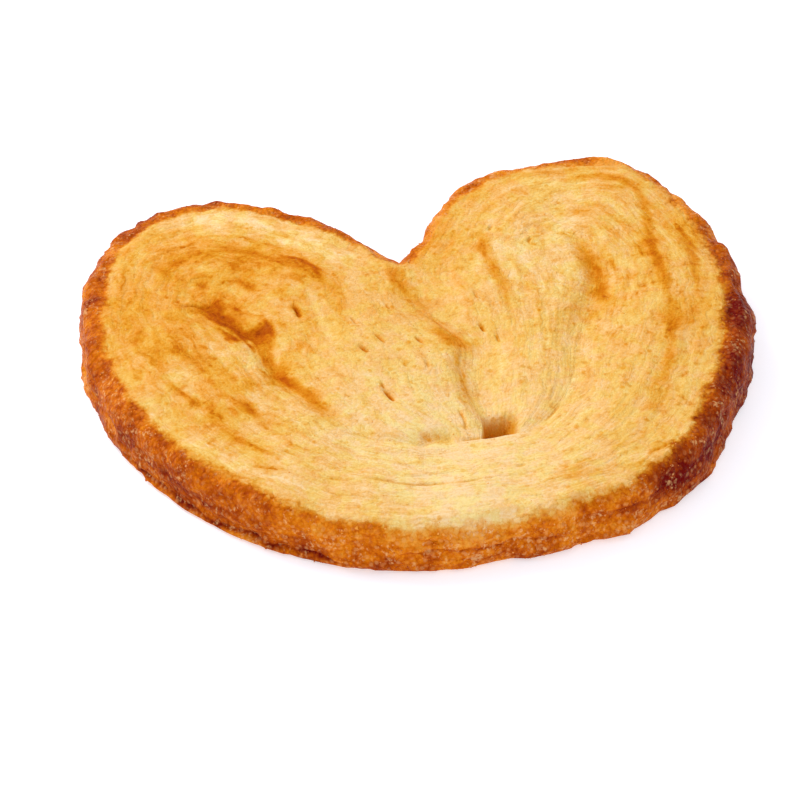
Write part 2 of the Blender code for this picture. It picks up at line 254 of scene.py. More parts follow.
# Browned streaks and pale strips: places from end to end, half width in millimetres, browning.
STREAKS = (
    # The left lobe: the arc round its crease, and the pale bands behind it.
    (((-0.68, 0.635), (-0.58, 0.645), (-0.50, 0.630), (-0.43, 0.595), (-0.37, 0.550),
      (-0.31, 0.50), (-0.27, 0.44), (-0.25, 0.37), (-0.235, 0.29), (-0.22, 0.20)), 1.5, 0.12),
    (((-0.345, 0.560), (-0.310, 0.535), (-0.284, 0.497), (-0.268, 0.45), (-0.262, 0.39)),
     0.42, 0.30),
    (((-0.53, 0.645), (-0.46, 0.625), (-0.41, 0.575)), 1.0, 0.10),
    (((-0.36, 0.53), (-0.31, 0.47), (-0.285, 0.40)), 1.6, 0.08),
    (((-0.492, 0.47), (-0.478, 0.43), (-0.470, 0.39)), 0.8, 0.16),
    (((-0.74, 0.575), (-0.69, 0.61), (-0.63, 0.605)), 1.0, 0.13),
    (((-0.715, 0.575), (-0.70, 0.52)), 0.8, 0.10),
    (((-0.625, 0.535), (-0.60, 0.49), (-0.615, 0.43)), 0.8, 0.11),
    (((-0.66, 0.86), (-0.55, 0.865), (-0.45, 0.83), (-0.33, 0.745), (-0.22, 0.63),
      (-0.12, 0.50)), 1.8, -0.13),
    (((-0.60, 0.765), (-0.48, 0.745), (-0.36, 0.68), (-0.26, 0.60), (-0.18, 0.47)), 1.1, -0.08),
    (((-0.62, 0.815), (-0.50, 0.80), (-0.38, 0.735), (-0.27, 0.64), (-0.20, 0.55)), 0.35, 0.08),
    (((-0.68, 0.735), (-0.58, 0.745), (-0.46, 0.715), (-0.40, 0.67)), 0.35, 0.09),
    # The left crease, its blob and its tail, and the pale ridge in front of it.
    (((-0.675, 0.35), (-0.65, 0.35), (-0.62, 0.335)), 0.32, 0.14),
    (((-0.590, 0.37), (-0.580, 0.34), (-0.565, 0.31)), 1.4, 0.09),
    (((-0.645, 0.34), (-0.607, 0.315), (-0.583, 0.275), (-0.555, 0.225), (-0.53, 0.18),
      (-0.50, 0.15)), 1.9, 0.38),
    (((-0.490, 0.14), (-0.486, 0.08), (-0.478, 0.02), (-0.475, -0.03), (-0.465, -0.08),
      (-0.442, -0.12), (-0.418, -0.18), (-0.393, -0.23), (-0.378, -0.29), (-0.35, -0.35)),
     1.05, 0.27),
    (((-0.503, 0.10), (-0.494, 0.05), (-0.490, 0.0)), 0.35, 0.12),
    # Between the left crease and the rim.
    (((-0.745, 0.13), (-0.73, 0.09), (-0.70, 0.04), (-0.68, -0.02), (-0.665, -0.07)), 0.9, 0.15),
    (((-0.82, 0.25), (-0.83, 0.17)), 0.8, 0.13),
    (((-0.80, 0.12), (-0.795, 0.02), (-0.785, -0.06)), 1.0, 0.08),
    (((-0.785, -0.08), (-0.765, -0.13), (-0.74, -0.18), (-0.715, -0.23)), 0.6, 0.17),
    (((-0.705, -0.24), (-0.685, -0.32), (-0.655, -0.40), (-0.60, -0.475), (-0.55, -0.54)),
     1.2, 0.13),
    (((-0.66, -0.10), (-0.62, -0.20), (-0.57, -0.30), (-0.50, -0.41)), 1.4, 0.08),
    (((-0.565, -0.11), (-0.55, -0.16)), 0.8, 0.16),
    (((-0.58, -0.23), (-0.565, -0.30)), 1.0, 0.16),
    (((-0.84, -0.28), (-0.81, -0.38), (-0.765, -0.48), (-0.71, -0.56), (-0.64, -0.64),
      (-0.57, -0.70)), 0.35, 0.08),
    (((-0.80, -0.30), (-0.75, -0.43), (-0.67, -0.54), (-0.57, -0.65), (-0.45, -0.74)),
     1.2, -0.07),
    # The right lobe: the line round its crease and the one beside it.
    (((0.60, 0.835), (0.69, 0.822), (0.745, 0.787), (0.779, 0.735), (0.793, 0.67), (0.790, 0.58),
      (0.777, 0.49), (0.762, 0.39), (0.756, 0.28), (0.752, 0.20), (0.744, 0.10)), 0.95, 0.21),
    (((0.746, 0.14), (0.738, 0.02), (0.718, -0.08), (0.695, -0.17)), 0.9, 0.13),
    (((0.765, 0.40), (0.756, 0.30), (0.754, 0.18)), 1.3, 0.08),
    (((0.545, 0.42), (0.555, 0.30), (0.555, 0.20), (0.54, 0.10)), 2.8, 0.08),
    (((0.865, 0.50), (0.87, 0.40), (0.872, 0.32), (0.862, 0.24), (0.85, 0.16), (0.84, 0.08)),
     0.7, 0.20),
    (((0.80, 0.64), (0.825, 0.55), (0.835, 0.45)), 0.6, 0.09),
    (((0.735, 0.02), (0.715, -0.10), (0.69, -0.20), (0.66, -0.30), (0.62, -0.40), (0.56, -0.50)),
     1.2, 0.08),
    (((0.80, 0.05), (0.79, -0.05), (0.76, -0.15)), 1.0, 0.08),
    (((0.68, -0.24), (0.655, -0.31), (0.63, -0.37)), 0.5, 0.07),
    (((0.63, -0.44), (0.59, -0.51), (0.55, -0.57)), 0.4, 0.12),
    (((0.82, 0.40), (0.815, 0.28), (0.80, 0.15)), 1.0, -0.05),
    (((0.265, 0.54), (0.252, 0.47), (0.250, 0.40), (0.255, 0.33), (0.262, 0.26), (0.268, 0.19),
      (0.260, 0.12), (0.262, 0.04)), 0.8, 0.15),
    (((0.262, 0.52), (0.250, 0.46), (0.250, 0.40)), 0.8, 0.11),
    (((0.32, 0.40), (0.315, 0.37)), 0.9, 0.10),
    (((0.325, 0.25), (0.30, 0.21)), 1.1, 0.09),
    (((0.565, 0.35), (0.572, 0.28), (0.562, 0.20), (0.552, 0.14), (0.545, 0.07)), 1.9, 0.17),
    (((0.578, 0.30), (0.565, 0.17)), 1.0, 0.07),
    (((0.54, 0.46), (0.555, 0.39), (0.56, 0.33)), 1.2, 0.10),
    (((0.53, 0.07), (0.505, 0.03), (0.48, 0.0)), 1.0, 0.09),
    (((0.48, -0.05), (0.475, -0.12)), 1.0, 0.08),
    (((0.57, 0.63), (0.605, 0.585)), 1.1, 0.13),
    (((0.07, 0.49), (0.10, 0.57), (0.14, 0.65)), 1.5, 0.12),
    (((0.20, 0.78), (0.28, 0.81), (0.36, 0.83)), 0.8, 0.08),
    (((0.40, 0.86), (0.52, 0.885), (0.65, 0.88), (0.74, 0.85)), 0.9, 0.07),
    # The seam.
    (((-0.040, 0.43), (-0.036, 0.38), (-0.028, 0.33), (-0.018, 0.27)), 1.0, 0.22),
    (((-0.005, 0.26), (0.012, 0.20), (0.025, 0.14), (0.035, 0.09)), 0.9, 0.08),
    (((0.038, 0.07), (0.048, 0.03), (0.058, -0.01), (0.064, -0.06)), 2.0, 0.21),
    (((0.060, 0.02), (0.090, -0.01), (0.110, -0.04)), 1.3, 0.09),
    (((0.058, -0.08), (0.062, -0.13), (0.070, -0.18), (0.063, -0.24), (0.072, -0.31)), 0.3, 0.12),
    (((0.052, -0.14), (0.054, -0.22), (0.058, -0.30), (0.068, -0.37)), 1.1, 0.07),
)

# Browned and whitish spots: place, reach in millimetres, browning.
SPOTS = (
    ((-0.495, 0.165), 1.9, 0.20),
    ((-0.475, 0.175), 1.1, 0.16),
    ((-0.480, 0.120), 1.3, 0.26),
    ((-0.515, 0.145), 1.5, 0.22),
    ((-0.58, 0.37), 0.8, 0.08),
    ((-0.43, 0.53), 1.0, 0.10),
    ((-0.82, 0.70), 1.2, 0.12),
    ((-0.56, 0.60), 0.9, 0.12),
    ((-0.62, -0.28), 1.0, 0.06),
    ((-0.43, -0.02), 0.9, 0.10),
    ((0.475, 0.54), 1.0, 0.14),
    ((0.575, 0.295), 1.1, 0.12),
    ((0.553, 0.175), 1.5, 0.12),
    ((0.42, 0.25), 0.7, 0.12),
    ((0.37, 0.12), 0.7, 0.10),
    ((0.70, 0.75), 1.4, 0.10),
    ((0.25, -0.82), 1.6, 0.12),
    ((0.31, -0.83), 1.3, 0.08),
    ((0.42, -0.70), 1.4, 0.08),
    ((0.52, -0.74), 1.0, 0.14),
    ((0.35, -0.35), 1.5, -0.08),
    ((0.43, -0.17), 1.5, -0.07),
    ((-0.60, 0.05), 2.0, -0.08),
    ((-0.30, -0.40), 2.4, -0.06),
)

# Frosty patches, where sugar stayed white: place, reach in millimetres, strength.
FROST = (
    ((0.018, 0.24), 1.0, 0.4),
    ((0.028, 0.19), 1.0, 0.5),
    ((0.035, 0.14), 1.0, 0.6),
    ((0.048, 0.09), 1.0, 0.6),
    ((0.060, 0.055), 0.9, 0.4),
    ((0.885, 0.29), 2.2, 0.25),
    ((0.898, 0.17), 2.0, 0.25),
    ((0.878, 0.05), 1.8, 0.25),
    ((0.42, -0.14), 2.0, 0.5),
    ((0.36, -0.31), 1.6, 0.7),
    ((0.31, -0.39), 1.4, 0.5),
    ((0.44, 0.12), 1.4, 0.5),
    ((0.64, -0.575), 1.4, 0.25),
    ((0.70, -0.50), 1.3, 0.25),
    ((0.775, -0.32), 1.6, 0.7),
    ((0.75, -0.21), 1.6, 0.6),
    ((0.82, -0.10), 1.2, 0.5),
    ((0.30, 0.42), 1.6, 0.5),
    ((0.34, 0.30), 1.4, 0.4),
    ((-0.45, -0.43), 1.6, 0.4),
    ((-0.55, 0.04), 1.8, 0.1),
    ((-0.02, -0.965), 1.8, 0.7),
    ((-0.11, -0.945), 2.0, 0.3),
    ((0.12, -0.95), 1.6, 0.2),
    ((-0.04, -0.99), 1.6, 0.6),
    ((-0.22, -0.925), 1.6, 0.3),
    ((-0.88, 0.74), 1.2, 0.6),
)

# Holes between the leaves: place, half length and half width in millimetres, depth, and browning,
# which is partly painted shade inside the hole.
HOLES = (
    ((-0.487, 0.165), 1.3, 1.5, 0.5, 0.20),
    ((-0.170, -0.270), 1.3, 0.36, 0.9, 0.42),
    ((-0.178, -0.215), 0.6, 0.24, 0.5, 0.26),
    ((-0.200, -0.025), 0.7, 0.34, 0.7, 0.40),
    ((-0.145, 0.030), 1.2, 0.22, 0.5, 0.24),
    ((-0.09, 0.21), 0.5, 0.22, 0.4, 0.22),
    ((-0.20, 0.14), 0.7, 0.24, 0.4, 0.18),
    ((-0.03, 0.0), 0.8, 0.26, 0.6, 0.28),
    ((-0.03, -0.134), 0.5, 0.22, 0.4, 0.18),
    ((-0.096, -0.121), 0.5, 0.22, 0.3, 0.14),
    ((0.168, 0.045), 0.7, 0.30, 0.6, 0.34),
    ((0.202, -0.024), 0.7, 0.22, 0.4, 0.18),
    ((0.18, 0.20), 0.7, 0.26, 0.4, 0.18),
    ((0.30, 0.58), 0.9, 0.26, 0.4, 0.18),
    ((0.40, 0.48), 0.8, 0.26, 0.4, 0.18),
    ((0.13, -0.72), 0.7, 0.28, 0.3, 0.14),
)

# Cracks that run with the layers: places from end to end, half width in millimetres, depth,
# and browning, which is partly painted shade inside the crack.
CRACKS = (
    (((-0.360, 0.272), (-0.356, 0.24), (-0.355, 0.208)), 0.34, 0.8, 0.42),
    (((-0.69, 0.35), (-0.65, 0.352), (-0.62, 0.335)), 0.26, 0.30, 0.0),
    (((-0.32, -0.70), (-0.20, -0.755), (-0.09, -0.765)), 0.24, 0.30, 0.14),
    (((-0.05, -0.775), (0.0, -0.775)), 0.24, 0.25, 0.14),
    (((-0.42, -0.68), (-0.38, -0.70)), 0.24, 0.25, 0.14),
    (((-0.52, -0.52), (-0.48, -0.56)), 0.24, 0.25, 0.14),
    (((-0.62, -0.57), (-0.55, -0.61)), 0.24, 0.25, 0.14),
    (((0.50, -0.76), (0.58, -0.73)), 0.26, 0.30, 0.16),
    (((0.28, -0.76), (0.33, -0.75)), 0.24, 0.25, 0.14),
    (((0.02, -0.36), (0.025, -0.42), (0.02, -0.47)), 0.22, 0.35, 0.18),
    (((0.255, -0.475), (0.28, -0.45), (0.305, -0.42)), 0.18, 0.20, 0.18),
    (((0.035, 0.125), (0.065, 0.06), (0.095, 0.0)), 0.22, 0.30, 0.10),
    # Painted shade under the left lobe's fold, beside the pit, over a shallow crack.
    (((-0.12, -0.50), (-0.07, -0.50), (-0.02, -0.505)), 1.0, 0.6, 0.13),
    (((0.0, -0.52), (0.03, -0.522), (0.055, -0.523)), 0.24, 0.40, 0.20),
)

# Lumps and nicks of the outline: share of its length, half width in millimetres, how far out.
OUTLINE_BUMPS = (
    (0.018, 2.5, 0.5),
    (0.060, 14.0, 0.4),
    (0.088, 3.0, -0.35),
    (0.104, 1.5, 0.35),
    (0.134, 2.0, 0.5),
    (0.150, 1.4, -0.3),
    (0.205, 6.0, 0.4),
    (0.235, 4.0, -0.25),
    (0.272, 3.2, -0.8),
    (0.286, 3.0, -0.1),
    (0.346, 3.0, 0.3),
    (0.370, 14.0, 0.5),
    (0.450, 7.0, 0.25),
    (0.501, 2.6, -0.6),
    (0.521, 2.3, 0.3),
    (0.539, 1.8, -0.55),
    (0.556, 2.2, 0.5),
    (0.578, 1.8, -0.6),
    (0.592, 2.0, -0.25),
    (0.610, 2.0, 0.25),
    (0.648, 2.0, -0.2),
    (0.667, 2.5, 0.5),
    (0.683, 4.0, 0.55),
    (0.706, 2.2, 0.7),
    (0.727, 2.6, -0.9),
    (0.757, 1.8, 0.4),
    (0.780, 3.0, 0.5),
    (0.815, 4.0, -0.3),
    (0.856, 5.0, 0.6),
    (0.905, 1.8, 0.3),
    (0.925, 3.0, 0.3),
    (0.978, 3.0, -0.8),
)

# The kinds of sugar: how big a grain is against the size that is set, how deep it is sunk in
# against its own size, how its browning differs from the dough's under it, how clear the
# clearest is, and the seed of its random draws.
SUGAR = {
    "rim_sugar": (0.75, 0.25, 0.0, 0.45, 3),
    "rim_lumps": (1.7, 0.42, -0.04, 0.25, 4),
    "top_sugar": (0.60, 0.15, -0.08, 0.80, 5),
}

# The smallest grain against the size of its kind, how far their browning strays, how high above
# the floor the lowest of a full-sized kind lie, and the height that no grain passes.
SMALLEST_GRAIN = 0.45
GRAIN_SPREAD = 0.09
LOWEST_GRAIN = 0.35 * MM
GRAIN_CEILING = HIGH.z + 0.25 * MM

# The stage, in metres: how far the floor reaches to each side, how far it lies under the slice,
# and where the two lights stand and how wide they are.
FLOOR_REACH = 4.0
FLOOR_DROP = 0.02 * MM
LIGHTS = {"key": ((-0.38, 0.42, 0.52), 0.45), "fill": ((-0.12, -0.70, 0.16), 0.40)}

# How wide the camera's film is, in millimetres.
FILM_WIDTH = 36.0


def unit(name, text, default, **more):
    """A length that a user can change."""
    return FloatProperty(
        name=name, description=text, default=default, subtype="DISTANCE", unit="LENGTH", **more)


def share(name, text, default, **more):
    """A share or strength that a user can change."""
    return FloatProperty(name=name, description=text, default=default, **more)


def tint(name, text, red, green, blue):
    """A display colour, given from 0 to 255, that a user can change."""
    return FloatVectorProperty(
        name=name, description=text, default=(red / 255, green / 255, blue / 255),
        subtype="COLOR_GAMMA", size=3, min=0.0, max=1.0)


class PalmierSizes(bpy.types.PropertyGroup):
    """The sizes of the slice's forms and of its fine relief."""

    shoulder_radius: unit("Shoulder radius", "How the rim rolls over to the wall", 3.0 * MM)
    dish_depth: unit("Dish depth", "How far the middle has sunk", 2.0 * MM)
    dish_reach: unit("Dish reach", "How wide the sunk middle is", 17.0 * MM)
    leg_swell: unit("Leg swell", "How far the layers rise between rim and crease", 0.5 * MM)
    lip_height: unit("Lip height", "The left lobe's lip along the seam", 0.25 * MM)
    lip_reach: unit("Lip reach", "How wide the lip is", 3.2 * MM)
    valley_depth: unit("Valley depth", "The right lobe's valley along the seam", 1.7 * MM)
    valley_reach: unit("Valley reach", "How wide the valley is", 6.5 * MM)
    step_width: unit("Step width", "The step between lip and valley", 1.5 * MM)
    pit_depth: unit("Pit depth", "The pit where the lobes meet", 4.4 * MM)
    pit_width: unit("Pit width", "The pit, across the seam", 5.2 * MM)
    pit_length: unit("Pit length", "The pit, along the seam", 5.6 * MM)
    pit_wall: unit("Pit wall", "How steep the pit's sides are", 1.1 * MM)
    cleft_fill: share("Cleft fill", "How far the shoulder stays up at the cleft", 0.7)
    cleft_fill_reach: unit("Cleft fill reach", "How far that goes", 5.0 * MM)
    unevenness: unit("Unevenness", "Slow swells of the upper face", 0.12 * MM)
    leaf_relief: unit("Leaf relief", "How far single leaves stand out", 0.07 * MM)
    blister_relief: unit("Blister relief", "Small swells of the crumb", 0.09 * MM)
    crust_relief: unit("Crust relief", "Lumps of the sugared rim", 0.38 * MM)
    grain_size: unit("Sugar grain", "Length of a grain of sugar on the rim", 0.48 * MM)
    rim_grains: IntProperty(name="Rim grains", description="Grains on the rim", default=4200)
    rim_lumps: IntProperty(name="Rim lumps", description="Melted lumps on the rim", default=1300)
    top_grains: IntProperty(name="Top grains", description="Grains on the top", default=450)


class PalmierColours(bpy.types.PropertyGroup):
    """The colours of the dough as it browns, of the sugar and of the stage."""

    raw: tint("Raw", "Dough that has hardly taken colour", 253, 222, 158)
    straw: tint("Straw", "Pale dough", 247, 201, 121)
    butter: tint("Butter", "Pale golden dough", 243, 190, 104)
    gold: tint("Gold", "Golden dough", 240, 179, 87)
    honey: tint("Honey", "Deep golden dough", 236, 164, 64)
    amber: tint("Amber", "Orange streaks", 227, 146, 44)
    toffee: tint("Toffee", "Light crust", 213, 124, 32)
    caramel: tint("Caramel", "Browned crust", 196, 101, 22)
    chestnut: tint("Chestnut", "Dark crust", 174, 80, 14)
    umber: tint("Umber", "Darker crust", 145, 58, 9)
    burnt: tint("Burnt", "The darkest caramel", 108, 27, 2)
    crust_gold: tint("Crust gold", "The palest crust", 245, 160, 62)
    crust_amber: tint("Crust amber", "Pale crust", 231, 130, 35)
    crust_red: tint("Crust red", "Crust in full colour", 208, 104, 18)
    crust_brown: tint("Crust brown", "Dark crust", 175, 76, 8)
    crust_burnt: tint("Crust burnt", "The darkest crust", 118, 33, 2)
    # Pale clear sugar. It is also the colour of the glints painted on the crust, which are painted
    # highlights.
    sugar: tint("Sugar", "Sugar that stayed clear", 255, 200, 136)
    frost: tint("Frost", "Sugar that stayed white", 252, 212, 160)
    floor: tint("Floor", "The pale floor", 214, 214, 226)


class PalmierStage(bpy.types.PropertyGroup):
    """Where the camera stands, and how bright the light is."""

    azimuth: FloatProperty(
        name="Azimuth", description="Camera's angle round the slice", subtype="ANGLE",
        default=math.radians(-12.0))
    elevation: FloatProperty(
        name="Elevation", description="Camera's angle above the floor", subtype="ANGLE",
        default=math.radians(38.0))
    distance: unit("Distance", "From the camera to what it looks at", 0.55)
    aim: FloatVectorProperty(
        name="Aim", description="What the camera looks at", subtype="TRANSLATION",
        unit="LENGTH", default=(-0.0051, -0.00285, 0.0))
    lens: share("Lens", "Focal length in millimetres", 165.8)
    sky: share("Sky", "Strength of the light from all round", 0.87)
    key: share("Key", "Power of the large light from the upper left, in watts", 3.6)
    fill: share("Fill", "Power of the low light from the front, in watts", 0.6)
    glow: share("Floor glow", "How much the lit floor adds to its own brightness", 0.5)


def linear(colour):
    """A display colour as the linear colour that shaders take."""
    values = np.array(colour[:3], dtype=float)
    low = values / 12.92
    high = ((values + 0.055) / 1.055) ** 2.4
    return (*np.where(values <= 0.04045, low, high), 1.0)


def baked(colour):
    """The linear colour that looks like the given one under the light on the top."""
    values = (np.array(linear(colour)[:3]) - VEIL) / LIGHT
    return (*np.clip(values, 0.001, 1.0), 1.0)


# --- Paths -----------------------------------------------------------------------------------

def place(shares):
    """Places from shares of half the width and half the depth."""
    return CENTRE + np.array(shares, dtype=float) * HALF


def smooth_path(corners):
    """A Catmull-Rom curve through the corners."""
    corners = place(corners)
    before = 2 * corners[0] - corners[1]
    after = 2 * corners[-1] - corners[-2]
    knots = np.vstack([before, corners, after])
    step = np.linspace(0.0, 1.0, PATH_STEPS, endpoint=False)[:, None]
    pieces = []
    for first, start, end, last in zip(knots, knots[1:], knots[2:], knots[3:]):
        speed = 0.5 * (end - first)
        bend = first - 2.5 * start + 2 * end - 0.5 * last
        twist = 0.5 * (last - first) + 1.5 * (start - end)
        pieces.append(start + step * speed + step**2 * bend + step**3 * twist)
    pieces.append(corners[-1:])
    return np.vstack(pieces)


def path_reach(path):
    """The length of the path up to each of its points."""
    lengths = np.linalg.norm(np.diff(path, axis=0), axis=1)
    return np.concatenate([[0.0], np.cumsum(lengths)])


def along(path, shares):
    """The points at the given shares of the path's length."""
    reach = path_reach(path)
    return np.column_stack([
        np.interp(np.asarray(shares) * reach[-1], reach, path[:, axis]) for axis in (0, 1)])


def nearest(points, path):
    """The distance from each point to the path, and the share of the path's length there."""
    steps = np.diff(path, axis=0)
    squares = (steps**2).sum(axis=1)
    reach = path_reach(path) / path_reach(path)[-1]
    gaps, where = [], []
    for chunk in np.array_split(points, max(1, len(points) // 2000)):
        offsets = chunk[:, None, :] - path[:-1]
        shares = np.clip((offsets * steps).sum(axis=2) / squares, 0.0, 1.0)
        distances = np.linalg.norm(offsets - shares[:, :, None] * steps, axis=2)
        closest = distances.argmin(axis=1)
        rows = np.arange(len(chunk))
        gaps.append(distances[rows, closest])
        where.append(reach[closest] + shares[rows, closest] * np.diff(reach)[closest])
    return np.concatenate(gaps), np.concatenate(where)


def outward(ring):
    """The direction straight out of the slice at each point of its closed outline."""
    tangent = np.roll(ring, -1, axis=0) - np.roll(ring, 1, axis=0)
    normal = np.column_stack([tangent[:, 1], -tangent[:, 0]])
    return normal / np.linalg.norm(normal, axis=1)[:, None]


# --- Smooth shapes and noise -----------------------------------------------------------------

NOISE_CELLS = 256
NOISE_TABLE = np.random.default_rng(11).uniform(-1.0, 1.0, (NOISE_CELLS, NOISE_CELLS))


def hill(distance, reach):
    """1 at no distance, falling away smoothly over the reach."""
    return np.exp(-(distance / reach) ** 2)


def rise(value, start, end):
    """0 before the start and 1 after the end, with a smooth climb between them."""
    part = np.clip((value - start) / (end - start), 0.0, 1.0)
    return part * part * (3 - 2 * part)


def spread_list(values, shares):
    """The values of a list that goes in even steps, read at the given shares of its length."""
    return np.interp(shares, np.linspace(0.0, 1.0, len(values)), values)


def grain(across, back, kind):
    """Smooth noise from -1 to 1, about one bump to a unit. Each kind has its own pattern."""
    across = across + 31.7 * kind
    back = back + 17.3 * kind
    column = np.floor(across).astype(int)
    row = np.floor(back).astype(int)
    right = rise(across - column, 0.0, 1.0)
    up = rise(back - row, 0.0, 1.0)
    table = NOISE_TABLE
    left_column, right_column = column % NOISE_CELLS, (column + 1) % NOISE_CELLS
    low_row, high_row = row % NOISE_CELLS, (row + 1) % NOISE_CELLS
    low = table[low_row, left_column] * (1 - right) + table[low_row, right_column] * right
    high = table[high_row, left_column] * (1 - right) + table[high_row, right_column] * right
    return low * (1 - up) + high * up


# --- The sheet of dough ----------------------------------------------------------------------

def slice_paths():
    """The outline, the seam and the two creases as smooth paths."""
    return [smooth_path(corners) for corners in (OUTLINE, SEAM, LEFT_CREASE, RIGHT_CREASE)]


def sheet_columns(paths, front_layers):
    """The outer and inner end of each column of the sheet, and which columns have a wall."""
    outline, seam, left_crease, right_crease = paths
    corner = seam[:1]
    left_end = corner + front_layers[:, None] * (left_crease[:1] - corner)
    right_end = corner + front_layers[:, None] * (right_crease[:1] - corner)
    front_columns = len(front_layers) - 1
    left_columns = SEAM_COLUMNS + CLEFT_COLUMNS
    left = np.linspace(0.0, 1.0, left_columns + 1) ** SEAM_CROWDING
    right = np.linspace(0.0, 1.0, SEAM_COLUMNS + 1) ** SEAM_CROWDING
    left_tip = np.repeat(left_crease[-1:], LEFT_TOP_COLUMNS, axis=0)
    right_tip = np.repeat(right_crease[-1:], RIGHT_TOP_COLUMNS, axis=0)

    def rim(start, end, columns):
        return along(outline, np.linspace(start, end, columns, endpoint=False))

    stretches = (
        (along(seam, right[:-1]), along(left_crease, left[:SEAM_COLUMNS])),
        (rim(0.0, LEFT_TURN_START, CLEFT_COLUMNS),
         along(left_crease, left[SEAM_COLUMNS:-1])),
        (rim(LEFT_TURN_START, LEFT_TURN_END, LEFT_TOP_COLUMNS), left_tip),
        (rim(LEFT_TURN_END, FRONT_START, left_columns), along(left_crease, left[:0:-1])),
        (rim(FRONT_START, FRONT_MIDDLE, front_columns), left_end[:0:-1]),
        (rim(FRONT_MIDDLE, FRONT_END, front_columns), right_end[:-1]),
        (rim(FRONT_END, RIGHT_TURN_START, SEAM_COLUMNS), along(right_crease, right[:-1])),
        (rim(RIGHT_TURN_START, 1.0, RIGHT_TOP_COLUMNS), right_tip),
        (along(seam, right[:0:-1]), along(right_crease, right[:0:-1])),
        (corner, right_crease[:1]),
    )
    outer = np.vstack([stretch[0] for stretch in stretches])
    inner = np.vstack([stretch[1] for stretch in stretches])
    walled = np.arange(SEAM_COLUMNS, len(outer) - SEAM_COLUMNS - 1)
    return outer, inner, walled


def grid_faces(columns, rows, first, closed=False, flipped=False):
    """Four-cornered faces between neighbouring columns of points, numbered from first."""
    count = columns if closed else columns - 1
    faces = []
    for column in range(count):
        here = first + column * rows
        after = first + ((column + 1) % columns) * rows
        for row in range(rows - 1):
            face = (here + row, after + row, after + row + 1, here + row + 1)
            faces.append(face[::-1] if flipped else face)
    return faces


class Shell:
    """Points, faces and painted values, gathered part by part and then welded into a mesh."""

    def __init__(self):
        self.points = []
        self.faces = []
        self.paint = {}
        self.count = 0

    def add(self, points, faces, **paint):
        """Add a part's points, its faces, and one value a point for each kind of paint."""
        self.points.append(points)
        self.faces += faces
        for name, values in paint.items():
            self.paint.setdefault(name, []).append(np.broadcast_to(values, len(points)))
        self.count += len(points)

    def welded(self, chain):
        """Points that coincide joined, faces without repeats, and the chain sewn in.

        Gives back the points, the faces, and the gathered point that paints each corner of them.
        """
        points = np.vstack(self.points)
        first, where = distinct(points)
        chain = list(dict.fromkeys(where[chain].tolist()))
        order = {point: index for index, point in enumerate(chain)}
        faces, corners = [], []
        for face in self.faces:
            ids, loops = [], []
            for corner in face:
                point = int(where[corner])
                if point in ids:
                    continue
                if ids and ids[-1] in order and point in order:
                    between = chain_between(chain, order[ids[-1]], order[point])
                    ids += between
                    loops += [corner] * len(between)
                ids.append(point)
                loops.append(corner)
            if len(ids) < 3:
                continue
            if ids[-1] in order and ids[0] in order:
                between = chain_between(chain, order[ids[-1]], order[ids[0]])
                ids += between
                loops += [face[0]] * len(between)
            faces.append(ids)
            corners += loops
        return points[first], faces, np.array(corners)


def distinct(points):
    """The first of each group of points that coincide, and the group that each point is in."""
    _, first, where = np.unique(
        np.round(points / MM, WELD_DIGITS), axis=0, return_index=True, return_inverse=True)
    return first, where.reshape(-1)


def chain_between(chain, start, end):
    """The chain's points strictly between two of its places, in walking order."""
    if start < end:
        return chain[start + 1:end]
    return chain[end + 1:start][::-1]


# --- Forms of the upper face -----------------------------------------------------------------

def groove(points, crease, depths, reaches):
    """The depth of a crease's groove, which follows the two lists from the pit to its tip."""
    distance, where = nearest(points, crease)
    reach = spread_list(reaches, where) * MM
    return spread_list(depths, where) * MM * hill(distance, reach)


def seam_side(points, seam):
    """How far each point lies to the right of the seam."""
    order = np.argsort(seam[:, 1])
    return points[:, 0] - np.interp(points[:, 1], seam[order, 1], seam[order, 0])


def seam_step(points, seam, sizes):
    """The left lobe's raised lip and, beyond the step, the valley on the right lobe."""
    side = seam_side(points, seam)
    front, cleft = seam[0, 1], seam[-1, 1]
    width = sizes.step_width * (1 + 1.6 * rise(points[:, 1], front + 8.0 * MM, cleft - 6.0 * MM))
    beyond = 0.5 * (1 + np.tanh(side / width))
    length = rise(points[:, 1], front - 2.0 * MM, front + 6.0 * MM)
    length *= 1 - rise(points[:, 1], cleft - 15.0 * MM, cleft + 1.0 * MM)
    lip = sizes.lip_height * (1 - beyond) * hill(side, sizes.lip_reach)
    valley = sizes.valley_depth * beyond * hill(side, sizes.valley_reach)
    return length * (lip - valley)


def pit_hole(points, leg_ends, seam, sizes):
    """The pit, as a share: steep on its left and at the front, where it meets the front band."""
    side = seam_side(points, seam)
    band = points[:, 1] - np.interp(points[:, 0], leg_ends[:, 0], leg_ends[:, 1])
    left = rise(side, 0.0, sizes.pit_wall)
    right = 1 - rise(side, 0.5 * sizes.pit_width, 1.2 * sizes.pit_width)
    front = rise(band, -0.3 * sizes.pit_wall, 0.7 * sizes.pit_wall)
    back = 1 - rise(band, 0.6 * sizes.pit_length, 1.15 * sizes.pit_length)
    return left * right * front * back


def swells(points, height):
    """Slow swells, as a baked slice is never quite flat."""
    across, back = points[:, 0] / MM, points[:, 1] / MM
    swell = np.sin(0.16 * across + 0.9) * np.cos(0.19 * back - 0.4)
    ripple = np.sin(0.41 * across - 0.23 * back) + np.cos(0.37 * back + 0.15 * across + 1.7)
    return height * (1.6 * swell + ripple)


def fields(points, table, ragged=0.0):
    """The sum of round patches: place, reach in millimetres, and amount in the middle of each."""
    amounts = np.zeros(len(points))
    for centre, reach, amount in table:
        distance = np.linalg.norm(points - place(centre), axis=1)
        amounts += amount * hill(distance * (1 + ragged), reach * MM)
    return amounts


